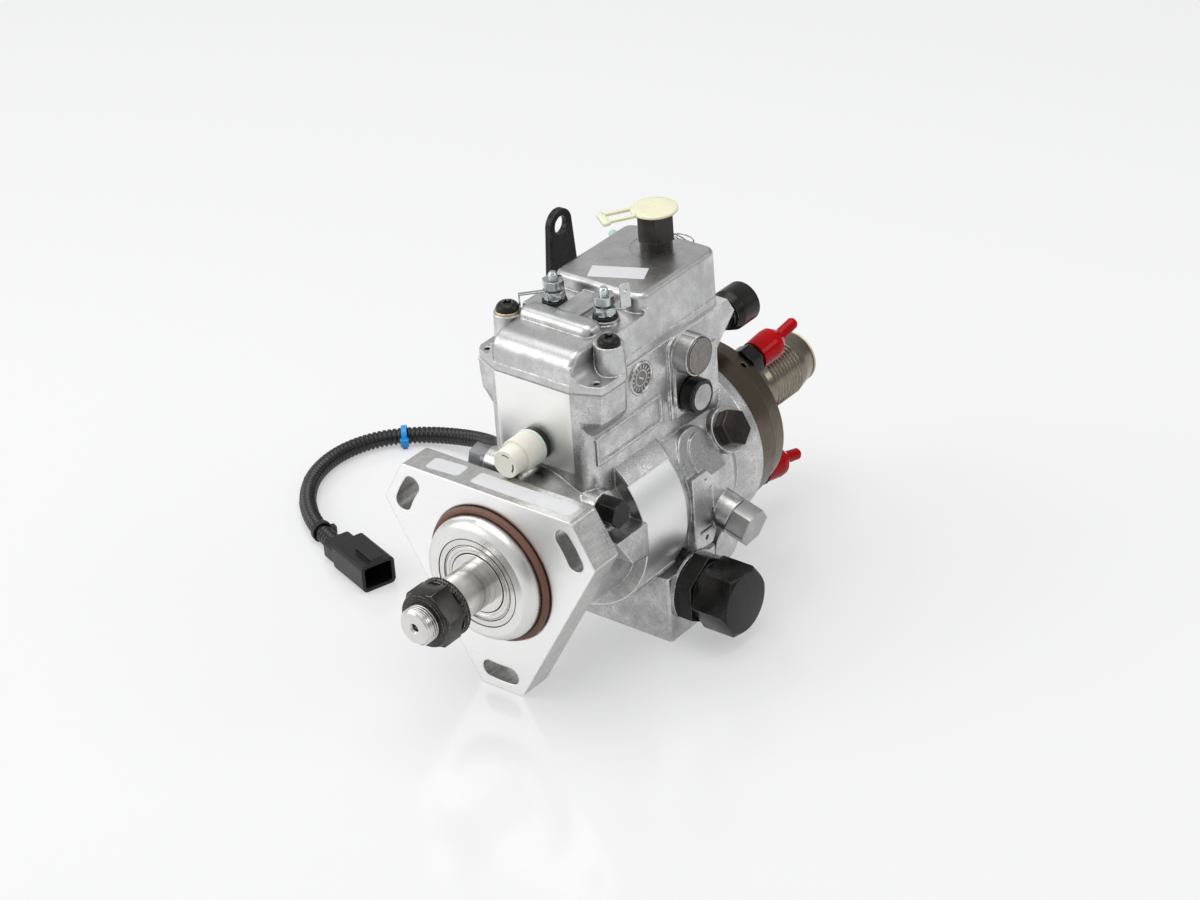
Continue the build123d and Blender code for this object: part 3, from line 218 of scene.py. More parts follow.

# Edges found by the bevel normal get a paler colour: partly rubbed wear, partly a painted highlight.
wear_and_highlight, enter, leave = start_group("Worn edges and painted highlight", [("Radius", 0.0006), ("Breakup per metre", 400.0)],
                                   ["Edge"])
rounded = wear_and_highlight.nodes.new("ShaderNodeBevel")
rounded.samples = 6
wear_and_highlight.links.new(enter.outputs["Radius"], rounded.inputs["Radius"])
surface = wear_and_highlight.nodes.new("ShaderNodeNewGeometry")
facing = wear_and_highlight.nodes.new("ShaderNodeVectorMath")
facing.operation = "DOT_PRODUCT"
wear_and_highlight.links.new(rounded.outputs["Normal"], facing.inputs[0])
wear_and_highlight.links.new(surface.outputs["Normal"], facing.inputs[1])
bent = remap(wear_and_highlight, calc(wear_and_highlight, "SUBTRACT", 1.0, facing.outputs["Value"]), 0.01, 0.12)
broken = remap(wear_and_highlight, noise(wear_and_highlight, enter.outputs["Breakup per metre"], detail=5), 0.35, 0.6)
wear_and_highlight.links.new(calc(wear_and_highlight, "MULTIPLY", bent, broken), leave.inputs["Edge"])

# Sheltered corners found by ambient occlusion get a darker colour: partly dirt, partly painted shade.
grime_and_shade_group, enter, leave = start_group("Grime and painted shade in corners", [("Reach", 0.004), ("Breakup per metre", 250.0)],
                                    ["Dirt"])
shelter = grime_and_shade_group.nodes.new("ShaderNodeAmbientOcclusion")
shelter.samples = 6
shelter.only_local = True
grime_and_shade_group.links.new(enter.outputs["Reach"], shelter.inputs["Distance"])
hidden = remap(grime_and_shade_group, calc(grime_and_shade_group, "SUBTRACT", 1.0, shelter.outputs["AO"]), 0.15, 0.75)
spread = remap(grime_and_shade_group, noise(grime_and_shade_group, enter.outputs["Breakup per metre"], detail=5), 0.25, 0.7)
grime_and_shade_group.links.new(calc(grime_and_shade_group, "MULTIPLY", hidden, spread), leave.inputs["Dirt"])
print("groups:", [group.name for group in bpy.data.node_groups])

# %% [markdown]
# ## Finishes
# Almost every finish on the pump is the same recipe with other values: a base tone that drifts slowly, paler
# edges that are partly rubbed wear and partly a painted highlight, darker corners that are partly dirt and
# partly painted shade, a roughness that wanders with the tone and a bump from the grain. So one helper builds
# them all. Values that are even over the surface are set on the shader's own sockets. The same radius that
# paints an edge paler also rounds its shading, so that every edge draws a thin line of light.

# %% The finish helper
def use_group(tree, group, **values):
    """The outputs of a shared group, used once in a tree with its own input values."""
    node = tree.nodes.new("ShaderNodeGroup")
    node.node_tree = group
    for label, value in values.items():
        node.inputs[label.replace("_", " ")].default_value = value
    return node.outputs


def blend_colour(tree, factor, first, second):
    """Mix two colours by a factor; each colour is a tuple or a socket."""
    node = tree.nodes.new("ShaderNodeMix")
    node.data_type = "RGBA"
    tree.links.new(factor, node.inputs["Factor"])
    for socket, colour in ((node.inputs["A"], first), (node.inputs["B"], second)):
        if isinstance(colour, tuple):
            socket.default_value = (*colour, 1.0)
        else:
            tree.links.new(colour, socket)
    return node.outputs["Result"]


def finish(name, base, other, edge=None, grime_and_shade=None, metallic=1.0, rough=(0.3, 0.45), grain=2500.0, bump=0.02,
           patches=60.0, edge_radius=0.0006, grime_and_shade_reach=0.004, **sockets):
    """A material with slow patches of tone, wear and painted highlight on edges, dirt and painted shade in
    corners, and a grain.
    """
    material = bpy.data.materials.new(name)
    material.use_nodes = True
    tree = material.node_tree
    shader = tree.nodes["Principled BSDF"]
    shader.inputs["Metallic"].default_value = metallic
    for label, value in sockets.items():
        shader.inputs[label.replace("_", " ")].default_value = value
    grainy = use_group(tree, relief, Grain_per_metre=grain, Patches_per_metre=patches)
    colour = blend_colour(tree, grainy["Patches"], base, other)
    roughness = remap(tree, grainy["Patches"], 0.0, 1.0, rough[0], rough[1])
    # Corners get a darker colour, partly dirt and partly painted shade.
    if grime_and_shade:
        corner = use_group(tree, grime_and_shade_group, Reach=grime_and_shade_reach)
        colour = blend_colour(tree, corner["Dirt"], colour, grime_and_shade)
        roughness = calc(tree, "ADD", roughness, calc(tree, "MULTIPLY", corner["Dirt"], 0.25), clamp=True)
    # Edges get a paler colour, partly rubbed wear and partly a painted highlight.
    if edge:
        bright = use_group(tree, wear_and_highlight, Radius=edge_radius)
        colour = blend_colour(tree, bright["Edge"], colour, edge)
    tree.links.new(colour, shader.inputs["Base Color"])
    tree.links.new(roughness, shader.inputs["Roughness"])
    if bump:
        relief_bump = tree.nodes.new("ShaderNodeBump")
        relief_bump.inputs["Distance"].default_value = bump * 0.001
        relief_bump.inputs["Strength"].default_value = 1.0
        tree.links.new(grainy["Height"], relief_bump.inputs["Height"])
        tree.links.new(relief_bump.outputs["Normal"], shader.inputs["Normal"])
        if edge:
            softened = tree.nodes.new("ShaderNodeBevel")
            softened.samples = 6
            softened.inputs["Radius"].default_value = edge_radius
            tree.links.new(softened.outputs["Normal"], relief_bump.inputs["Normal"])
    return material


def dress(material, *names):
    """Give a material to nodes of the frame."""
    for name in names:
        piece = nodes[name]
        piece.data.materials.clear()
        piece.data.materials.append(material)

# %% The finishes
# Each edge colour below is partly rubbed wear and partly a painted highlight; each corner colour is partly
# dirt and partly painted shade.
bright_steel = finish("bright steel", (0.68, 0.67, 0.65), (0.60, 0.59, 0.57), rough=(0.17, 0.22), grain=900.0,
                      bump=0.001, edge=(0.92, 0.92, 0.91), grime_and_shade=(0.20, 0.17, 0.14))
black_steel = finish("black oxide steel", (0.013, 0.0125, 0.012), (0.027, 0.025, 0.023),
                     edge=(0.26, 0.25, 0.24), grime_and_shade=(0.008, 0.007, 0.006), metallic=0.5, rough=(0.20, 0.33),
                     bump=0.006, Specular_IOR_Level=0.36)
black_chrome = finish("black chrome", (0.058, 0.055, 0.051), (0.034, 0.032, 0.030),
                      edge=(0.55, 0.53, 0.50), metallic=0.9, rough=(0.15, 0.24), bump=0.004,
                      edge_radius=0.0004)
brown_steel = finish("brown oxide steel", (0.026, 0.022, 0.019), (0.046, 0.038, 0.033),
                     edge=(0.27, 0.25, 0.22), grime_and_shade=(0.02, 0.015, 0.012), metallic=0.6, rough=(0.24, 0.40),
                     bump=0.010)
ring_plating = finish("tan plating of the ring", (0.142, 0.115, 0.083), (0.106, 0.086, 0.062),
                      edge=(0.50, 0.46, 0.39), grime_and_shade=(0.09, 0.075, 0.06), rough=(0.27, 0.38), grain=1500.0,
                      bump=0.008)
stub_plating = finish("pale tan plating", (0.28, 0.245, 0.195), (0.205, 0.180, 0.142),
                      edge=(0.70, 0.66, 0.57), grime_and_shade=(0.10, 0.08, 0.06), rough=(0.19, 0.28), grain=1500.0,
                      bump=0.005, grime_and_shade_reach=0.0025)
zinc = finish("zinc plating", (0.62, 0.65, 0.65), (0.44, 0.465, 0.47), edge=(0.92, 0.94, 0.94),
              grime_and_shade=(0.05, 0.05, 0.05), rough=(0.13, 0.24), bump=0.006, grime_and_shade_reach=0.003, edge_radius=0.0004)
side_zinc = finish("satin zinc of the side plug", (0.46, 0.46, 0.455), (0.34, 0.34, 0.335),
                   edge=(0.90, 0.90, 0.89), grime_and_shade=(0.13, 0.12, 0.11), rough=(0.24, 0.38), bump=0.012)
drain_grey = finish("dark zinc of the drain plug", (0.20, 0.205, 0.215), (0.28, 0.285, 0.295),
                    edge=(0.52, 0.52, 0.53), grime_and_shade=(0.06, 0.055, 0.05), metallic=0.8, rough=(0.28, 0.42),
                    bump=0.01)
mottled_steel = finish("mottled end of the throttle plug", (0.185, 0.170, 0.155), (0.30, 0.285, 0.265),
                       edge=(0.80, 0.79, 0.77), grime_and_shade=(0.07, 0.06, 0.05), metallic=0.85, rough=(0.34, 0.52),
                       grain=1800.0, bump=0.03, patches=420.0)
yellow_zinc = finish("yellow passivated zinc", (0.66, 0.56, 0.34), (0.52, 0.45, 0.30),
                     edge=(0.88, 0.82, 0.66), grime_and_shade=(0.2, 0.14, 0.08), rough=(0.22, 0.36), bump=0.006)
seal_rubber = finish("brown seal rubber", (0.205, 0.095, 0.062), (0.165, 0.075, 0.050),
                     grime_and_shade=(0.05, 0.03, 0.02), metallic=0.0, rough=(0.46, 0.62), bump=0.01)
gasket_paper = finish("pale gasket paper", (0.52, 0.51, 0.49), (0.40, 0.39, 0.37), metallic=0.0,
                      rough=(0.7, 0.9), bump=0.03)
red_plastic = finish("red vinyl", (0.50, 0.001, 0.004), (0.42, 0.001, 0.003), metallic=0.0,
                     rough=(0.12, 0.17), grain=600.0, bump=0.003, Specular_IOR_Level=0.15)
cream_plastic = finish("cream polythene", (0.86, 0.83, 0.62), (0.80, 0.76, 0.54), grime_and_shade=(0.60, 0.53, 0.36),
                       metallic=0.0, rough=(0.24, 0.36), grain=500.0, bump=0.006, Subsurface_Weight=0.35,
                       Subsurface_Scale=0.004)
white_plastic = finish("milky polythene", (0.86, 0.85, 0.76), (0.80, 0.785, 0.69), grime_and_shade=(0.52, 0.47, 0.36),
                       metallic=0.0, rough=(0.26, 0.38), grain=500.0, bump=0.008, Subsurface_Weight=0.35,
                       Subsurface_Scale=0.004)
green_plastic = finish("pale green polythene", (0.50, 0.74, 0.66), (0.42, 0.66, 0.58), metallic=0.0,
                       rough=(0.26, 0.38), bump=0.006, Subsurface_Weight=0.3, Subsurface_Scale=0.003)
black_plastic = finish("black moulded plastic", (0.007, 0.007, 0.008), (0.013, 0.013, 0.014), metallic=0.0,
                       edge=(0.060, 0.060, 0.063), rough=(0.26, 0.40), grain=3000.0, bump=0.010,
                       Specular_IOR_Level=0.35)
blue_plastic = finish("blue nylon", (0.02, 0.32, 0.78), (0.015, 0.27, 0.70), metallic=0.0, rough=(0.26, 0.36),
                      bump=0.006, Subsurface_Weight=0.15, Subsurface_Scale=0.002)
dark_gap = finish("shadowed gap", (0.012, 0.012, 0.012), (0.02, 0.019, 0.018), metallic=0.0, rough=(0.5, 0.7),
                  bump=0.004)
label_paper = finish("blank paper label", (0.70, 0.71, 0.715), (0.65, 0.66, 0.67), grime_and_shade=(0.50, 0.50, 0.49),
                     metallic=0.0, rough=(0.30, 0.42), grain=900.0, bump=0.006, patches=160.0,
                     grime_and_shade_reach=0.001)
print("finishes:", len(bpy.data.materials))

# %% [markdown]
# The casting is the one finish that changes with its place. Where a cutter has passed, on the flange face,
# the band round the drum, the seat of the cover and the front of the box, the metal is paler and smoother,
# and the turned pilot is even in tone. The material knows these places by their height along an axis or their
# distance from the shaft's axis.

# %% The cast aluminium
def near(tree, value, centre, reach):
    """A mask that is 1 where a value lies within a reach of a centre."""
    node = tree.nodes.new("ShaderNodeMath")
    node.operation = "COMPARE"
    tree.links.new(value, node.inputs[0])
    node.inputs[1].default_value = centre
    node.inputs[2].default_value = reach
    return node.outputs[0]


def add_speckle(tree, per_metre, darker, strength):
    """Darken a finish's colour in the fine speckle that a die leaves on cast aluminium."""
    shader = tree.nodes["Principled BSDF"]
    colour = shader.inputs["Base Color"].links[0].from_socket
    specks = remap(tree, noise(tree, per_metre, detail=2.0, roughness=0.6), 0.48, 0.66)
    tree.links.new(blend_colour(tree, calc(tree, "MULTIPLY", specks, strength), colour, darker),
                   shader.inputs["Base Color"])


# The near-white edge colour is partly rubbed wear and partly a painted highlight; the near-black corner
# colour is partly dirt and partly painted shade.
cast = finish("cast aluminium", (0.68, 0.68, 0.67), (0.45, 0.45, 0.445), edge=(0.98, 0.98, 0.97),
              grime_and_shade=(0.055, 0.050, 0.045), rough=(0.22, 0.38), grain=1900.0, bump=0.045, patches=70.0,
              edge_radius=0.0012, grime_and_shade_reach=0.008)
add_speckle(cast.node_tree, 900.0, (0.34, 0.34, 0.345), 0.55)
tree = cast.node_tree
shader = tree.nodes["Principled BSDF"]
split = tree.nodes.new("ShaderNodeSeparateXYZ")
tree.links.new(object_place(tree), split.inputs[0])
x, y, z = split.outputs
from_axis = calc(tree, "SQRT", calc(tree, "ADD", calc(tree, "MULTIPLY", x, x), calc(tree, "MULTIPLY", z, z)))
face_depth = 0.0004
pilot_radius, drum_radius = 0.037, 0.053
box_front, seat_height = 0.044, 0.094
flange_front = near(tree, y, 0.0, face_depth)
pilot_nose = calc(tree, "MULTIPLY", near(tree, y, -0.0065, 0.0062),
                  calc(tree, "LESS_THAN", from_axis, pilot_radius))
drum_band = calc(tree, "MULTIPLY", near(tree, from_axis, drum_radius, face_depth),
                 near(tree, y, 0.084, 0.0182))
cover_seat = near(tree, z, seat_height, face_depth / 2)
box_face = calc(tree, "MULTIPLY", near(tree, y, box_front, face_depth), near(tree, z, 0.070, 0.024))
machined = flange_front
for mask in (drum_band, cover_seat, box_face):
    machined = calc(tree, "MAXIMUM", machined, mask)
cast_colour = shader.inputs["Base Color"].links[0].from_socket
nose_colour = blend_colour(tree, pilot_nose, cast_colour, (0.74, 0.735, 0.72))
old_rough = shader.inputs["Roughness"].links[0].from_socket
tool_marks = noise(tree, 40.0, detail=3, stretch=(1.0, 60.0, 60.0))
cut_colour = blend_colour(tree, tool_marks, (0.94, 0.94, 0.93), (0.86, 0.86, 0.85))
tree.links.new(blend_colour(tree, machined, nose_colour, cut_colour), shader.inputs["Base Color"])
cut_rough = remap(tree, tool_marks, 0.3, 0.7, 0.35, 0.46)
keep = calc(tree, "MULTIPLY", old_rough, calc(tree, "SUBTRACT", 1.0, machined))
tree.links.new(calc(tree, "ADD", keep, calc(tree, "MULTIPLY", cut_rough, machined)),
               shader.inputs["Roughness"])

# %% [markdown]
# The edge of the flange and its bevelled corners were milled with a coarse cutter, so they carry a fine
# cross-hatch and look greyer than the face. A second mask finds them by depth along the shaft and distance
# from it, and two stretched noises laid over each other make the hatch.

# %% The milled edge of the flange
flange_middle, flange_half, edge_from_axis = 0.010, 0.0097, 0.0475
flange_edge = calc(tree, "MULTIPLY", near(tree, y, flange_middle, flange_half),
                   calc(tree, "GREATER_THAN", from_axis, edge_from_axis))
hatch_along = noise(tree, 30.0, detail=2, stretch=(8.0, 90.0, 8.0))
hatch_across = noise(tree, 30.0, detail=2, stretch=(80.0, 3.0, 80.0))
hatch = remap(tree, calc(tree, "ADD", hatch_along, hatch_across), 0.85, 1.15)
edge_colour = blend_colour(tree, hatch, (0.50, 0.495, 0.48), (0.70, 0.695, 0.68))
faced_colour = shader.inputs["Base Color"].links[0].from_socket
tree.links.new(blend_colour(tree, flange_edge, faced_colour, edge_colour), shader.inputs["Base Color"])

# As on the body, the pale edge colour is partly wear and partly a painted highlight, and the dark corner
# colour partly dirt and partly painted shade.
cover_cast = finish("cover casting", (0.67, 0.67, 0.665), (0.50, 0.50, 0.495), edge=(0.98, 0.98, 0.97),
                    grime_and_shade=(0.045, 0.041, 0.037), rough=(0.27, 0.40), grain=1500.0, bump=0.022, patches=80.0,
                    edge_radius=0.0013, grime_and_shade_reach=0.008)
add_speckle(cover_cast.node_tree, 1100.0, (0.38, 0.38, 0.385), 0.40)
dress(cast, "housing")
dress(cover_cast, "governor_cover")
dress(bright_steel, "drive_shaft", "bearing_outer_race", "bearing_inner_race", "bearing_balls",
      "bearing_shield", "distributor_rotor", "cam_ring", "cam_rollers", "pump_plungers", "advance_piston",
      "metering_valve", "thrust_sleeve", "governor_arm", "governor_weights", "weight_cage",
      "transfer_pump_liner", "transfer_pump_rotor", "throttle_shaft", "adjuster_screw")
dress(black_chrome, "shaft_nut", "shaft_washers")
dress(black_steel, "advance_cap", "advance_plug", "delivery_nuts", "return_fitting",
      "cover_screws", "adjuster_nut", "throttle_lever", "pivot_plug", "vent_plug", "adjuster_cap")
dress(brown_steel, "head_locking_screws", "ring_plug")
dress(ring_plating, "hydraulic_head")
dress(stub_plating, "inlet_connector")
dress(zinc, "terminal_posts", "terminal_tabs", "advance_cap_washer")
dress(side_zinc, "side_plug")
dress(drain_grey, "drain_plug")
dress(mottled_steel, "throttle_shaft_plug")
dress(yellow_zinc, "cover_screw_washers")
dress(seal_rubber, "pilot_o_ring", "shaft_seal")
dress(gasket_paper, "cover_gasket")
dress(red_plastic, "delivery_caps")
dress(white_plastic, "front_port_cap")
dress(cream_plastic, "inlet_plug", "return_cap")
dress(black_plastic, "connector", "conduit", "conduit_tie_black", "speed_sensor", "terminal_insulators",
      "front_port_fitting", "shutoff_solenoid")
dress(blue_plastic, "conduit_tie_blue")

# %% [markdown]
# ## The conduit
# A split, corrugated conduit guards the sensor's wires. It leaves the sensor behind the pump, comes down to
# the bench and lies there in one loose curve. Its line is a smooth spline steered by a handful of points;
# the ribbed tube is spun straight, once, and then laid along that line, so every rib stays square to it.

# %% The conduit's line
conduit_points = [
    (-0.0790, 0.1460, -0.0234), (-0.1014, 0.1460, -0.0300), (-0.1218, 0.1542, -0.0399),
    (-0.1384, 0.1710, -0.0526), (-0.1600, 0.1839, -0.0607), (-0.1856, 0.1869, -0.0664),
    (-0.2108, 0.1790, -0.0686), (-0.2299, 0.1608, -0.06865), (-0.2382, 0.1357, -0.06865),
    (-0.2345, 0.1096, -0.06865), (-0.2206, 0.0871, -0.06865), (-0.2032, 0.0716, -0.06865),
    (-0.1840, 0.0610, -0.06865), (-0.1645, 0.0546, -0.06865),
]
line_data = bpy.data.curves.new("conduit_line", "CURVE")
line_data.dimensions = "3D"
line_data.resolution_u = 24
spline = line_data.splines.new("NURBS")
spline.points.add(len(conduit_points) - 1)
for point, place in zip(spline.points, conduit_points):
    point.co = (*place, 1.0)
spline.order_u = 3
spline.use_endpoint_u = True
line_object = bpy.data.objects.new("conduit_line", line_data)
line_mesh = bpy.data.meshes.new_from_object(line_object)
line = [vert.co.copy() for vert in line_mesh.vertices]
bpy.data.meshes.remove(line_mesh)
bpy.data.objects.remove(line_object)
lengths = [0.0]
for before, after in zip(line, line[1:]):
    lengths.append(lengths[-1] + (after - before).length)
conduit_length = lengths[-1]
print("conduit length in mm:", round(conduit_length * 1000, 1))


def along_line(distance):
    """The place and heading at a distance along the conduit's line, in metres."""
    distance = min(max(distance, 0.0), conduit_length)
    index = next((i for i, length in enumerate(lengths[1:]) if length >= distance), len(line) - 2)
    share = (distance - lengths[index]) / (lengths[index + 1] - lengths[index])
    ahead = (line[index + 1] - line[index]).normalized()
    before = (line[index] - line[index - 1]).normalized() if index else ahead
    after = (line[index + 2] - line[index + 1]).normalized() if index + 2 < len(line) else ahead
    heading = before.lerp(ahead, 0.5).lerp(ahead.lerp(after, 0.5), share).normalized()
    return line[index].lerp(line[index + 1], share), heading

# %% The ribbed tube
rib_pitch = 0.0030
bore, end_radius = 0.0038, 0.00445
valley, slope, crest = 0.00425, 0.00500, 0.00525
rib_outline = [(0.06, valley), (0.20, slope), (0.32, crest), (0.58, crest), (0.70, slope), (0.84, valley)]
rib_count = int(conduit_length / rib_pitch)
pitch = conduit_length / rib_count
ribs = [(rib * pitch + pitch * share, radius) for rib in range(rib_count) for share, radius in rib_outline]
tube = spun_shape([(0.0, bore), (0.0, end_radius)] + ribs + [(conduit_length, end_radius),
                                                             (conduit_length, bore)], steps=20)
for vert in tube.verts:
    place, heading = along_line(vert.co.z)
    side = heading.cross(Vector((0, 0, 1))).normalized()
    over = side.cross(heading).normalized()
    vert.co = place + side * vert.co.x + over * vert.co.y
bmesh.ops.scale(tube, vec=(1000, 1000, 1000), verts=tube.verts)
# The paler edge colour is a painted highlight on the rib crests, and the darker corner colour is painted
# shade in the ribs' valleys.
corrugated = finish("corrugated polythene", (0.006, 0.006, 0.007), (0.011, 0.011, 0.012), metallic=0.0,
                    edge=(0.050, 0.050, 0.053), grime_and_shade=(0.002, 0.002, 0.002), rough=(0.20, 0.30), grain=1200.0,
                    bump=0.006, patches=90.0, edge_radius=0.0005, grime_and_shade_reach=0.0012)
conduit = piece_from(tube, "ribbed_conduit", corrugated)
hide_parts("conduit")
print("ribs:", rib_count, "faces:", len(conduit.data.polygons))

# %% [markdown]
# ## The ties on the conduit
# Two nylon ties hold the wires: a blue one halfway and a black one near the connector. A tie is a thin strap
# round the ribs, a square head, and the cut end of the strap that stands out of it. Each is set on the
# conduit's own line, at the place where the frame has its plain tie.

# %% Ties
def slab(width, depth, height, corner, rim=0.0):
    """A flat block on z = 0 with rounded corners, and a softened top rim if asked."""
    shape = bmesh.new()
    bmesh.ops.create_cube(shape, size=1.0)
    bmesh.ops.scale(shape, vec=(width, depth, height), verts=shape.verts)
    bmesh.ops.translate(shape, vec=(0, 0, height / 2), verts=shape.verts)
    upright = [edge for edge in shape.edges if abs(edge.verts[0].co.z - edge.verts[1].co.z) > height * 0.9]
    bmesh.ops.bevel(shape, geom=upright, offset=corner, segments=4, profile=0.5, affect="EDGES", material=-1)
    if rim:
        top = [edge for edge in shape.edges if min(v.co.z for v in edge.verts) > height * 0.99]
        bmesh.ops.bevel(shape, geom=top, offset=rim, segments=2, profile=0.5, affect="EDGES", material=-1)
    return shape


def tie_on_conduit(node, width, material):
    """A strap, its head and its cut end, round the conduit where the frame's tie is."""
    low, high = (Vector(corner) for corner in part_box(node))
    middle = (low + high) / 2
    steps = 400
    distances = [step * conduit_length / steps for step in range(steps + 1)]
    distance = min(distances, key=lambda d: (along_line(d)[0] - middle).length)
    place, heading = along_line(distance)
    side = Vector((0, 0, 1)).cross(heading).normalized()
    local = frame_on(place * 1000, heading, first=side)
    half, inside, outside, rounding = width / 2, 5.3, 6.5, 0.3
    tie = spun_shape([(-half, inside), (-half, outside - rounding), (-half + rounding, outside),
                      (half - rounding, outside), (half, outside - rounding), (half, inside),
                      (-half, inside)], steps=40, place=local)
    upended = Matrix.Rotation(pi / 2, 4, "X")
    for part, offset in ((slab(5.6, width + 1.6, 4.6, 0.9, rim=0.5), (6.0, 1.2, 0)),
                         (slab(1.2, width * 0.8, 3.4, 0.3), (6.4, -2.2, 0))):
        bmesh.ops.transform(part, matrix=local @ Matrix.Translation(offset) @ upended, verts=part.verts)
        join_in(tie, part)
    made = sharpen(piece_from(tie, node + "_moulded", material), 40)
    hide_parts(node)
    return made


tie_width = 3.6
blue_tie = tie_on_conduit("conduit_tie_blue", tie_width, blue_plastic)
black_tie = tie_on_conduit("conduit_tie_black", tie_width, black_plastic)
print("ties:", len(blue_tie.data.polygons), "and", len(black_tie.data.polygons), "faces")

# %% [markdown]
# ## Broken edges
# No real nut or plug has knife edges: the cutter or the mould leaves a small bevel, and it is the bevel that
# catches the light. The solids of the plain pieces are right but sharp, so each gets a copy whose doubled
# points are merged, whose flat faces are joined again, and whose sharp edges are bevelled with two segments.

# %% Copies with bevelled edges
def broken_edges(node, width, material, record_slot, body="casing", sharper_than=32):
    """A copy of a CAD node with its sharp edges bevelled by a width in millimetres; it replaces the node."""
    shape = bmesh.new()
    shape.from_mesh(nodes[node].data)
    bmesh.ops.scale(shape, vec=(1000, 1000, 1000), verts=shape.verts)
    bmesh.ops.remove_doubles(shape, verts=shape.verts, dist=0.002)
    bmesh.ops.dissolve_limit(shape, angle_limit=radians(1.5), verts=shape.verts, edges=shape.edges)
    sharp = [edge for edge in shape.edges
             if len(edge.link_faces) == 2 and edge.calc_face_angle(0.0) > radians(sharper_than)]
    bmesh.ops.bevel(shape, geom=sharp, offset=width, segments=2, profile=0.5, affect="EDGES", material=-1,
                    clamp_overlap=True)
    made = sharpen(piece_from(shape, node + "_bevelled", material, body=body), 24)
    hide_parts(node)
    return len(made.data.polygons)


copies = (  # node, width of the bevel in millimetres, material, slot in the record, body
    ("advance_cap", 0.7, black_steel, "black_steel", "casing"),
    ("advance_plug", 0.6, black_steel, "black_steel", "casing"),
    ("return_fitting", 0.5, black_chrome, "black_steel", "casing"),
    ("head_locking_screws", 0.6, brown_steel, "brown_steel", "casing"),
    ("side_plug", 0.6, side_zinc, "zinc", "casing"),
    ("vent_plug", 0.5, black_steel, "zinc", "casing"),
    ("drain_plug", 0.5, drain_grey, "zinc", "casing"),
    ("terminal_posts", 0.2, zinc, "zinc", "casing"),
    ("delivery_nuts", 0.4, black_steel, "black_steel", "casing"),
    ("front_port_cap", 0.7, white_plastic, "cream_plastic", "casing"),
    ("shaft_nut", 0.4, black_chrome, "black_steel", "drive"),
    ("throttle_lever", 0.5, black_steel, "black_steel", "throttle"),
)
for row in copies:
    print(row[0], "has", broken_edges(*row), "faces")

# %% [markdown]
# ## Threads
# The shaft's nose, the terminal studs, the adjuster and the inlet stub are threaded. A thread is one ridge
# wound round a rod, so a small triangle is spun about the axis and moved along it a little at every step. Its
# closed ends keep it solid, and it sinks slightly into the plain rod of the frame. The stub's ridge is coarse
# and stops before its smooth end, where the thin lip of its cream plug lies.

# %% Thread ridges
def thread(name, radius, depth, pitch, turns, place, material, body, steps=36, share=0.46):
    """A ridge wound round a rod; share is half its foot as a part of the pitch."""
    ridge = bmesh.new()
    corners = [ridge.verts.new((radius - 0.3, 0, -pitch * share)), ridge.verts.new((radius + depth, 0, 0)),
               ridge.verts.new((radius - 0.3, 0, pitch * share))]
    ridge.faces.new(corners)
    bmesh.ops.spin(ridge, geom=everything(ridge), cent=(0, 0, 0), axis=(0, 0, 1),
                   dvec=(0, 0, pitch / steps), angle=tau * turns, steps=int(steps * turns))
    bmesh.ops.transform(ridge, matrix=place, verts=ridge.verts)
    return sharpen(piece_from(ridge, name, material, body=body), 30)


nose_thread = thread("shaft_nose_thread", radius=10.2, depth=0.35, pitch=1.5, turns=4.6,
                     place=on_shaft(-62.3), material=bright_steel, body="drive",
                     steps=48)
stub_thread = thread("inlet_stub_thread", radius=17.5, depth=0.95, pitch=2.8, turns=8.6,
                     place=on_shaft(238.0), material=stub_plating, body="casing",
                     steps=56)
plug_lip = spun_shape([(0, 0), (0, 16.0), (1.1, 16.0), (1.9, 15.2), (2.1, 14.0), (2.1, 0)],
                      place=on_shaft(275.9))
sharpen(piece_from(plug_lip, "inlet_plug_lip", cream_plastic))
for side, x in (("left", -17.0), ("right", 17.0)):
    thread("stud_thread_" + side, radius=2.5, depth=0.22, pitch=0.9, turns=3.0,
           place=frame_on((x, 88.0, 130.7), (0, 0, 1)), material=zinc, body="casing",
           steps=24)
thread("adjuster_thread", radius=4.0, depth=0.3, pitch=1.25, turns=2.4,
       place=frame_on((17, 210.0, 72), (0, 1, 0)), material=bright_steel, body="casing",
       steps=28)
print("nose thread:", len(nose_thread.data.polygons), "faces; stub:", len(stub_thread.data.polygons))

# %% [markdown]
# ## Lock washers and the front of the nut
# Two serrated washers sit behind the shaft nut. Their teeth show as fine stripes round the rim. One tooth is
# made and spun into a ring of copies. The nut itself has a turned collar round its thread.

# %% Serrated rims and collar
def serrated_rim(name, middle, radius, teeth=52):
    """A ring of slanted teeth round a lock washer."""
    rim = bmesh.new()
    bmesh.ops.create_cube(rim, size=1.0)
    bmesh.ops.scale(rim, vec=(1.3, 0.75, 1.5), verts=rim.verts)
    bmesh.ops.rotate(rim, cent=(0, 0, 0), matrix=Matrix.Rotation(radians(20), 3, "X"), verts=rim.verts)
    bmesh.ops.translate(rim, vec=(radius - 0.25, 0, 0), verts=rim.verts)
    bmesh.ops.spin(rim, geom=everything(rim), cent=(0, 0, 0), axis=(0, 0, 1),
                   angle=tau * (teeth - 1) / teeth, steps=teeth - 1, use_duplicate=True)
    bmesh.ops.transform(rim, matrix=on_shaft(middle), verts=rim.verts)
    return piece_from(rim, name, black_steel, body="drive", smooth=False)


serrated_rim("front_washer_teeth", -40.0, 15.9)
serrated_rim("rear_washer_teeth", -38.0, 16.4)
collar = spun_shape([(-0.1, 10.3), (0.35, 10.3), (0.5, 10.6), (0.5, 13.0), (0.25, 13.4), (-0.1, 13.4),
                     (-0.1, 10.3)], place=on_shaft(-55.0, -1))
sharpen(piece_from(collar, "nut_collar", black_chrome, body="drive"))

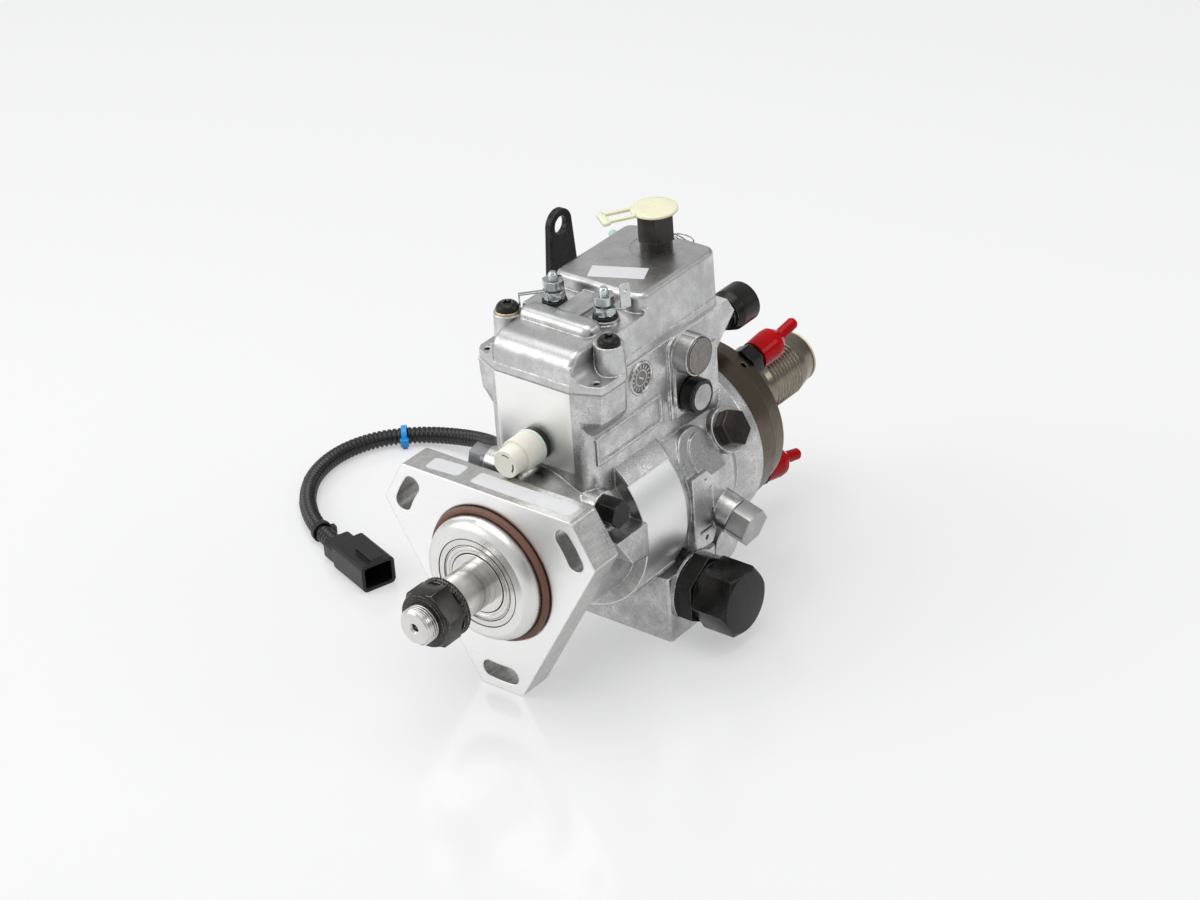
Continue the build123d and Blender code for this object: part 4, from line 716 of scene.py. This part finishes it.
# %% [markdown]
# ## Thin dark lines
# The eye reads a fit between two pieces by the thin shadow in its gap. The bearing shows three of them: round
# its outer race, and on both sides of its shield. They are flat rings that stand a hair proud.

# %% Shadow rings of the bearing and the plugs
def flat_ring(name, inner, outer, place, material, body="casing", thick=0.06):
    """A thin flat ring, which reads as the shadow in a gap."""
    ring = spun_shape([(0, inner), (thick, inner), (thick, outer), (0, outer), (0, inner)], steps=72,
                      place=place)
    return sharpen(piece_from(ring, name, material, body=body))


flat_ring("race_gap", 25.75, 26.2, on_shaft(-12.15, -1), dark_gap)
shield_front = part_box("bearing_shield")[0][1] * 1000
flat_ring("shield_outer_gap", 22.25, 22.6, on_shaft(-12.0, -1), dark_gap)
flat_ring("shield_inner_gap", 16.9, 17.7, on_shaft(shield_front - 0.02, -1), dark_gap)
pivot_disc = spun_shape([(0, 0), (0, 7.4), (0.2, 7.4), (0.2, 0)],
                        place=frame_on((44.75, 131.5, 56), (1, 0, 0)))
sharpen(piece_from(pivot_disc, "pivot_plug_disc", side_zinc))
flat_ring("throttle_plug_gap", 9.95, 10.35, frame_on((46.0, 129.5, 82.5), (1, 0, 0)), dark_gap, thick=0.35)
bead = spun_shape([(0, 19.0), (0.25, 19.3), (0.3, 20.2), (0.25, 21.2), (0, 21.6), (0, 19.0)], steps=72,
                  place=on_shaft(shield_front, -1))
sharpen(piece_from(bead, "shield_bead", bright_steel), 50)
print("shield stands at y =", round(shield_front, 2), "mm")

# %% [markdown]
# ## The return cap
# A soft cream plug with a flat disc closes the return fitting, and a loop on one side pulls it out. It was
# moulded in one piece with rounded edges. The disc is spun from a curved outline, and the two arms and the
# crossbar of the loop are rounded slabs that run into it.

# %% Return cap
cap_top = spun_shape([(140.0, 0), (140.0, 4.6), (140.4, 4.9), (147.0, 4.9), (147.0, 12.4), (147.25, 12.9),
                      (147.8, 13.1), (148.4, 12.9), (148.75, 12.3), (148.9, 9.0), (148.8, 0)], steps=72,
                     place=Matrix.Translation((1, 154.5, 0)))
loop_way = Vector((-0.58, -0.815, -0.03)).normalized()
loop_place = frame_on((1, 154.5, 147.3), (-0.0174, -0.0245, 1.0), first=loop_way)
for offset in (-4.5, 4.5):
    arm = slab(17.6, 2.0, 1.6, 0.6, rim=0.4)
    bmesh.ops.transform(arm, matrix=loop_place @ Matrix.Translation((19.4, offset, 0)), verts=arm.verts)
    join_in(cap_top, arm)
bar = slab(4.4, 15.0, 1.9, 1.2, rim=0.5)
bmesh.ops.transform(bar, matrix=loop_place @ Matrix.Translation((28.6, 0, -0.1)), verts=bar.verts)
join_in(cap_top, bar)
pull_cap = sharpen(piece_from(cap_top, "return_pull_cap", cream_plastic), 45)
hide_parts("return_cap")

# %% [markdown]
# The milky cap on the front port has two short slots in its face, drawn as dark arcs of painted shade, and a
# rib round its larger step.

# %% Front cap slots
def slot_shadow_arc(name, radius, width, start, sweep):
    """A dark arc of painted shade for a slot in the face of the front cap, from an angle over a sweep in
    degrees.
    """
    groove = bmesh.new()
    bmesh.ops.create_grid(groove, x_segments=1, y_segments=1, size=0.5)
    bmesh.ops.scale(groove, vec=(width, 0.1, 1.0), verts=groove.verts)
    bmesh.ops.rotate(groove, cent=(0, 0, 0), matrix=Matrix.Rotation(pi / 2, 3, "X"), verts=groove.verts)
    bmesh.ops.translate(groove, vec=(radius, 0, 0), verts=groove.verts)
    bmesh.ops.spin(groove, geom=everything(groove), cent=(0, 0, 0),
                   axis=(0, 0, 1), angle=radians(sweep), steps=14)
    place = frame_on((1, 16.97, 58), (0, -1, 0), first=(cos(radians(start)), 0, sin(radians(start))))
    bmesh.ops.transform(groove, matrix=place, verts=groove.verts)
    return piece_from(groove, name, dark_gap)


slot_shadow_arc("cap_slot_top_shadow", 5.4, 0.55, 60, 46)
slot_shadow_arc("cap_slot_right_shadow", 5.4, 0.9, -36, 52)
cap_rib = spun_shape([(0, 9.7), (0.3, 10.1), (1.4, 10.15), (1.7, 9.7), (0, 9.7)], steps=56,
                     place=frame_on((1, 37.6, 58), (0, 1, 0)))
sharpen(piece_from(cap_rib, "front_cap_rib", white_plastic), 40)

# %% [markdown]
# ## Labels
# Three plain paper labels are stuck on the castings: one on the cover and two on the upper edge of the
# flange. Each is a very thin slab with round corners, lying a hair above the metal.

# %% Labels
def label(name, width, depth, corner, centre, turned_by):
    """A thin slab with rounded corners, turned about the upright axis."""
    sticker = slab(width, depth, 0.09, corner)
    place = Matrix.Translation(centre) @ Matrix.Rotation(radians(turned_by), 4, "Z")
    bmesh.ops.transform(sticker, matrix=place, verts=sticker.verts)
    return sharpen(piece_from(sticker, name, label_paper))


label("cover_label", 31.0, 12.6, 0.4, (1.9, 119.3, 125.3), 24.5)
flange_top, flange_half_depth, strip = 49.2, 10.1, 10.8
label("flange_label_small", 21.5, strip, 2.2, (-33.9, flange_half_depth, flange_top), 4)
label("flange_label_long", 66.5, strip, 2.2, (19.0, flange_half_depth, flange_top), 0)

# %% [markdown]
# ## Marks in the casting
# A round pad on the right side carries a ring of plain ticks round a small pointer, as the dies of many
# castings leave. The ticks are one bar, spun into a ring of copies. They stand pale on a dark, rough ground.

# %% Cast ticks
tick_count = 16
tick_pad = frame_on((34.0, 93.0, 83.0), (1, 0, 0))
ticks = slab(2.0, 0.55, 0.4, 0.15)
bmesh.ops.translate(ticks, vec=(6.5, 0, 0), verts=ticks.verts)
bmesh.ops.spin(ticks, geom=everything(ticks), cent=(0, 0, 0), axis=(0, 0, 1),
               angle=tau * (tick_count - 1) / tick_count, steps=tick_count - 1, use_duplicate=True)
join_in(ticks, spun_shape([(0, 4.2), (0.35, 4.2), (0.35, 4.7), (0, 4.7), (0, 4.2)], steps=40))
pointer = slab(4.6, 0.8, 0.4, 0.2)
bmesh.ops.rotate(pointer, cent=(0, 0, 0), matrix=Matrix.Rotation(radians(55), 3, "Z"), verts=pointer.verts)
join_in(ticks, pointer)
bmesh.ops.transform(ticks, matrix=tick_pad, verts=ticks.verts)
crisp_cast = finish("crisp cast detail", (0.80, 0.80, 0.79), (0.62, 0.62, 0.61), rough=(0.22, 0.34),
                    bump=0.01)
piece_from(ticks, "cast_ticks", crisp_cast, smooth=False)
ground = spun_shape([(0, 0), (0, 8.2), (0.06, 8.2), (0.06, 0)], place=tick_pad)
sharpen(piece_from(ground, "cast_ticks_ground", mottled_steel))

# %% [markdown]
# ## Cover screws
# The cover is held by button-head screws with a six-lobed socket. The head is spun from a rounded outline,
# and the socket is a dark recess in which six small bars stand for the lobes.

# %% Button heads
def button_head(name, x, y, seat):
    """A button-head screw on a tower, with its lobed socket and the start of its shank."""
    place = Matrix.Translation((x, y, seat))
    head = spun_shape([(0.0, 6.1), (0.9, 6.25), (1.8, 6.05), (2.8, 5.4), (3.5, 4.5), (3.8, 3.6), (3.8, 3.0),
                       (1.7, 3.0), (1.7, 0)], steps=48, place=place)
    lobe_count = 6
    lobes = slab(1.0, 1.5, 1.8, 0.3)
    bmesh.ops.translate(lobes, vec=(2.7, 0, 0), verts=lobes.verts)
    bmesh.ops.spin(lobes, geom=everything(lobes), cent=(0, 0, 0), axis=(0, 0, 1),
                   angle=tau * (lobe_count - 1) / lobe_count, steps=lobe_count - 1, use_duplicate=True)
    bmesh.ops.transform(lobes, matrix=place @ Matrix.Translation((0, 0, 1.7)), verts=lobes.verts)
    join_in(head, lobes)
    pin = spun_shape([(-2.0, 0), (-2.0, 3.0), (0.1, 3.0), (0.1, 0)], steps=24, place=place)
    join_in(head, pin)
    return sharpen(piece_from(head, name, black_steel), 35)


tower_level = 115.2
screw_heads = [button_head("cover_screw_right", 33.8, 69.0, tower_level),
               button_head("cover_screw_left", -33.8, 69.0, tower_level + 1.6),
               button_head("cover_screw_rear", 0.0, 173.0, tower_level)]
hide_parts("cover_screws")
print("button heads:", len(screw_heads))

# %% [markdown]
# ## Seal wire and a green tip
# A thin seal wire is looped round the rear cover screw and leans against the cover. On the far side a pale
# green tip shows just above the cover's edge. The wire is a small circle, spun into rings.

# %% Seal wire and tip
def wire_ring(radius, wire, place):
    """A closed ring of round wire."""
    ring = bmesh.new()
    bmesh.ops.create_circle(ring, cap_ends=False, radius=wire, segments=8)
    bmesh.ops.rotate(ring, cent=(0, 0, 0), matrix=Matrix.Rotation(pi / 2, 3, "X"), verts=ring.verts)
    bmesh.ops.translate(ring, vec=(radius, 0, 0), verts=ring.verts)
    bmesh.ops.spin(ring, geom=everything(ring), cent=(0, 0, 0), axis=(0, 0, 1), angle=tau, steps=40,
                   use_merge=True)
    bmesh.ops.remove_doubles(ring, verts=ring.verts, dist=0.001)
    bmesh.ops.transform(ring, matrix=place, verts=ring.verts)
    return ring


seal_wire = wire_ring(6.6, 0.42, frame_on((3.2, 174.6, 121.2), (0.25, 0.55, 0.8)))
join_in(seal_wire, wire_ring(5.9, 0.42, frame_on((3.6, 174.9, 121.6), (-0.2, 0.75, 0.62))))
piece_from(seal_wire, "seal_wire", bright_steel)
tip = spun_shape([(0, 0), (0, 2.2), (7.6, 2.6), (8.6, 2.4), (9.2, 1.6), (9.4, 0)], steps=32,
                 place=frame_on((-28.8, 155.2, 121.6), (-0.62, 0.72, -0.12)))
sharpen(piece_from(tip, "green_tip", green_plastic), 40)

# %% [markdown]
# ## The bench and the light
# The pump stands on a plain, glossy white bench under soft light. Part of the bench's white is its own
# colour, lit by the lamps, so it keeps the pump's shadow. The rest is a glow that only the camera and mirror
# reflections see, so that the ground stays pale to the edges of the picture and the metals mirror it.

# %% The bench
bench_level, bench_half, glow_strength = -0.0741, 6.0, 0.43
floor_mesh = bmesh.new()
bmesh.ops.create_grid(floor_mesh, x_segments=1, y_segments=1, size=bench_half)
bmesh.ops.translate(floor_mesh, vec=(0, 0, bench_level), verts=floor_mesh.verts)
floor_data = bpy.data.meshes.new("bench_floor")
floor_mesh.to_mesh(floor_data)
floor_mesh.free()
bench_floor = bpy.data.objects.new("bench_floor", floor_data)
bpy.context.scene.collection.objects.link(bench_floor)
floor_material = bpy.data.materials.new("pale bench")
floor_material.use_nodes = True
tree = floor_material.node_tree
bench_shader = tree.nodes["Principled BSDF"]
bench_shader.inputs["Base Color"].default_value = (0.46, 0.46, 0.462, 1)
bench_shader.inputs["Roughness"].default_value = 0.14
bench_shader.inputs["Specular IOR Level"].default_value = 0.32
glow = tree.nodes.new("ShaderNodeEmission")
glow.inputs["Color"].default_value = (0.985, 0.99, 1.0, 1)
ray = tree.nodes.new("ShaderNodeLightPath")
seen = calc(tree, "MAXIMUM", ray.outputs["Is Camera Ray"],
            calc(tree, "MAXIMUM", ray.outputs["Is Glossy Ray"], ray.outputs["Is Transmission Ray"]))
tree.links.new(calc(tree, "MULTIPLY", seen, glow_strength), glow.inputs["Strength"])
both = tree.nodes.new("ShaderNodeAddShader")
tree.links.new(bench_shader.outputs[0], both.inputs[0])
tree.links.new(glow.outputs[0], both.inputs[1])
tree.links.new(both.outputs[0], tree.nodes["Material Output"].inputs["Surface"])
floor_data.materials.append(floor_material)

# %% [markdown]
# Polished and cast metal show the room more than their own colour. So the world isn't even: it is white
# towards the front left, where the studio's big screen stood, and falls to a mid grey behind the pump. That
# difference draws the shapes of the cover and the darker streaks along the shaft.

# %% The room and the lamps
screen_direction = (-0.52, -0.50, 0.69)
dark_side, bright_side = (0.40, 0.405, 0.42), (0.97, 0.97, 0.97)
world = bpy.data.worlds.new("pale room")
bpy.context.scene.world = world
world.use_nodes = True
tree = world.node_tree
way = tree.nodes.new("ShaderNodeTexCoord")
towards = tree.nodes.new("ShaderNodeVectorMath")
towards.operation = "DOT_PRODUCT"
towards.inputs[1].default_value = screen_direction
tree.links.new(way.outputs["Generated"], towards.inputs[0])
screen = remap(tree, towards.outputs["Value"], -0.35, 0.75)
room_colour = blend_colour(tree, screen, dark_side, bright_side)
tree.links.new(room_colour, tree.nodes["Background"].inputs["Color"])
tree.nodes["Background"].inputs["Strength"].default_value = 0.80


def soft_lamp(name, place, target, size, watts):
    """A white rectangular lamp that shines from a place towards a target."""
    data = bpy.data.lights.new(name, "AREA")
    data.shape = "RECTANGLE"
    data.size, data.size_y = size
    data.energy = watts
    lamp = bpy.data.objects.new(name, data)
    lamp.matrix_world = frame_on(Vector(place), Vector(place) - Vector(target))
    bpy.context.scene.collection.objects.link(lamp)


pump_middle = (0, 0.1, 0)
soft_lamp("overhead", (-0.1, 0.15, 1.5), pump_middle, size=(1.5, 0.9), watts=9)
soft_lamp("left_screen", (-1.1, -0.9, 0.8), pump_middle, size=(1.0, 1.1), watts=7)
soft_lamp("right_rim", (1.2, 0.7, 0.8), pump_middle, size=(0.5, 0.9), watts=3)
bpy.context.scene.view_settings.view_transform = "Standard"
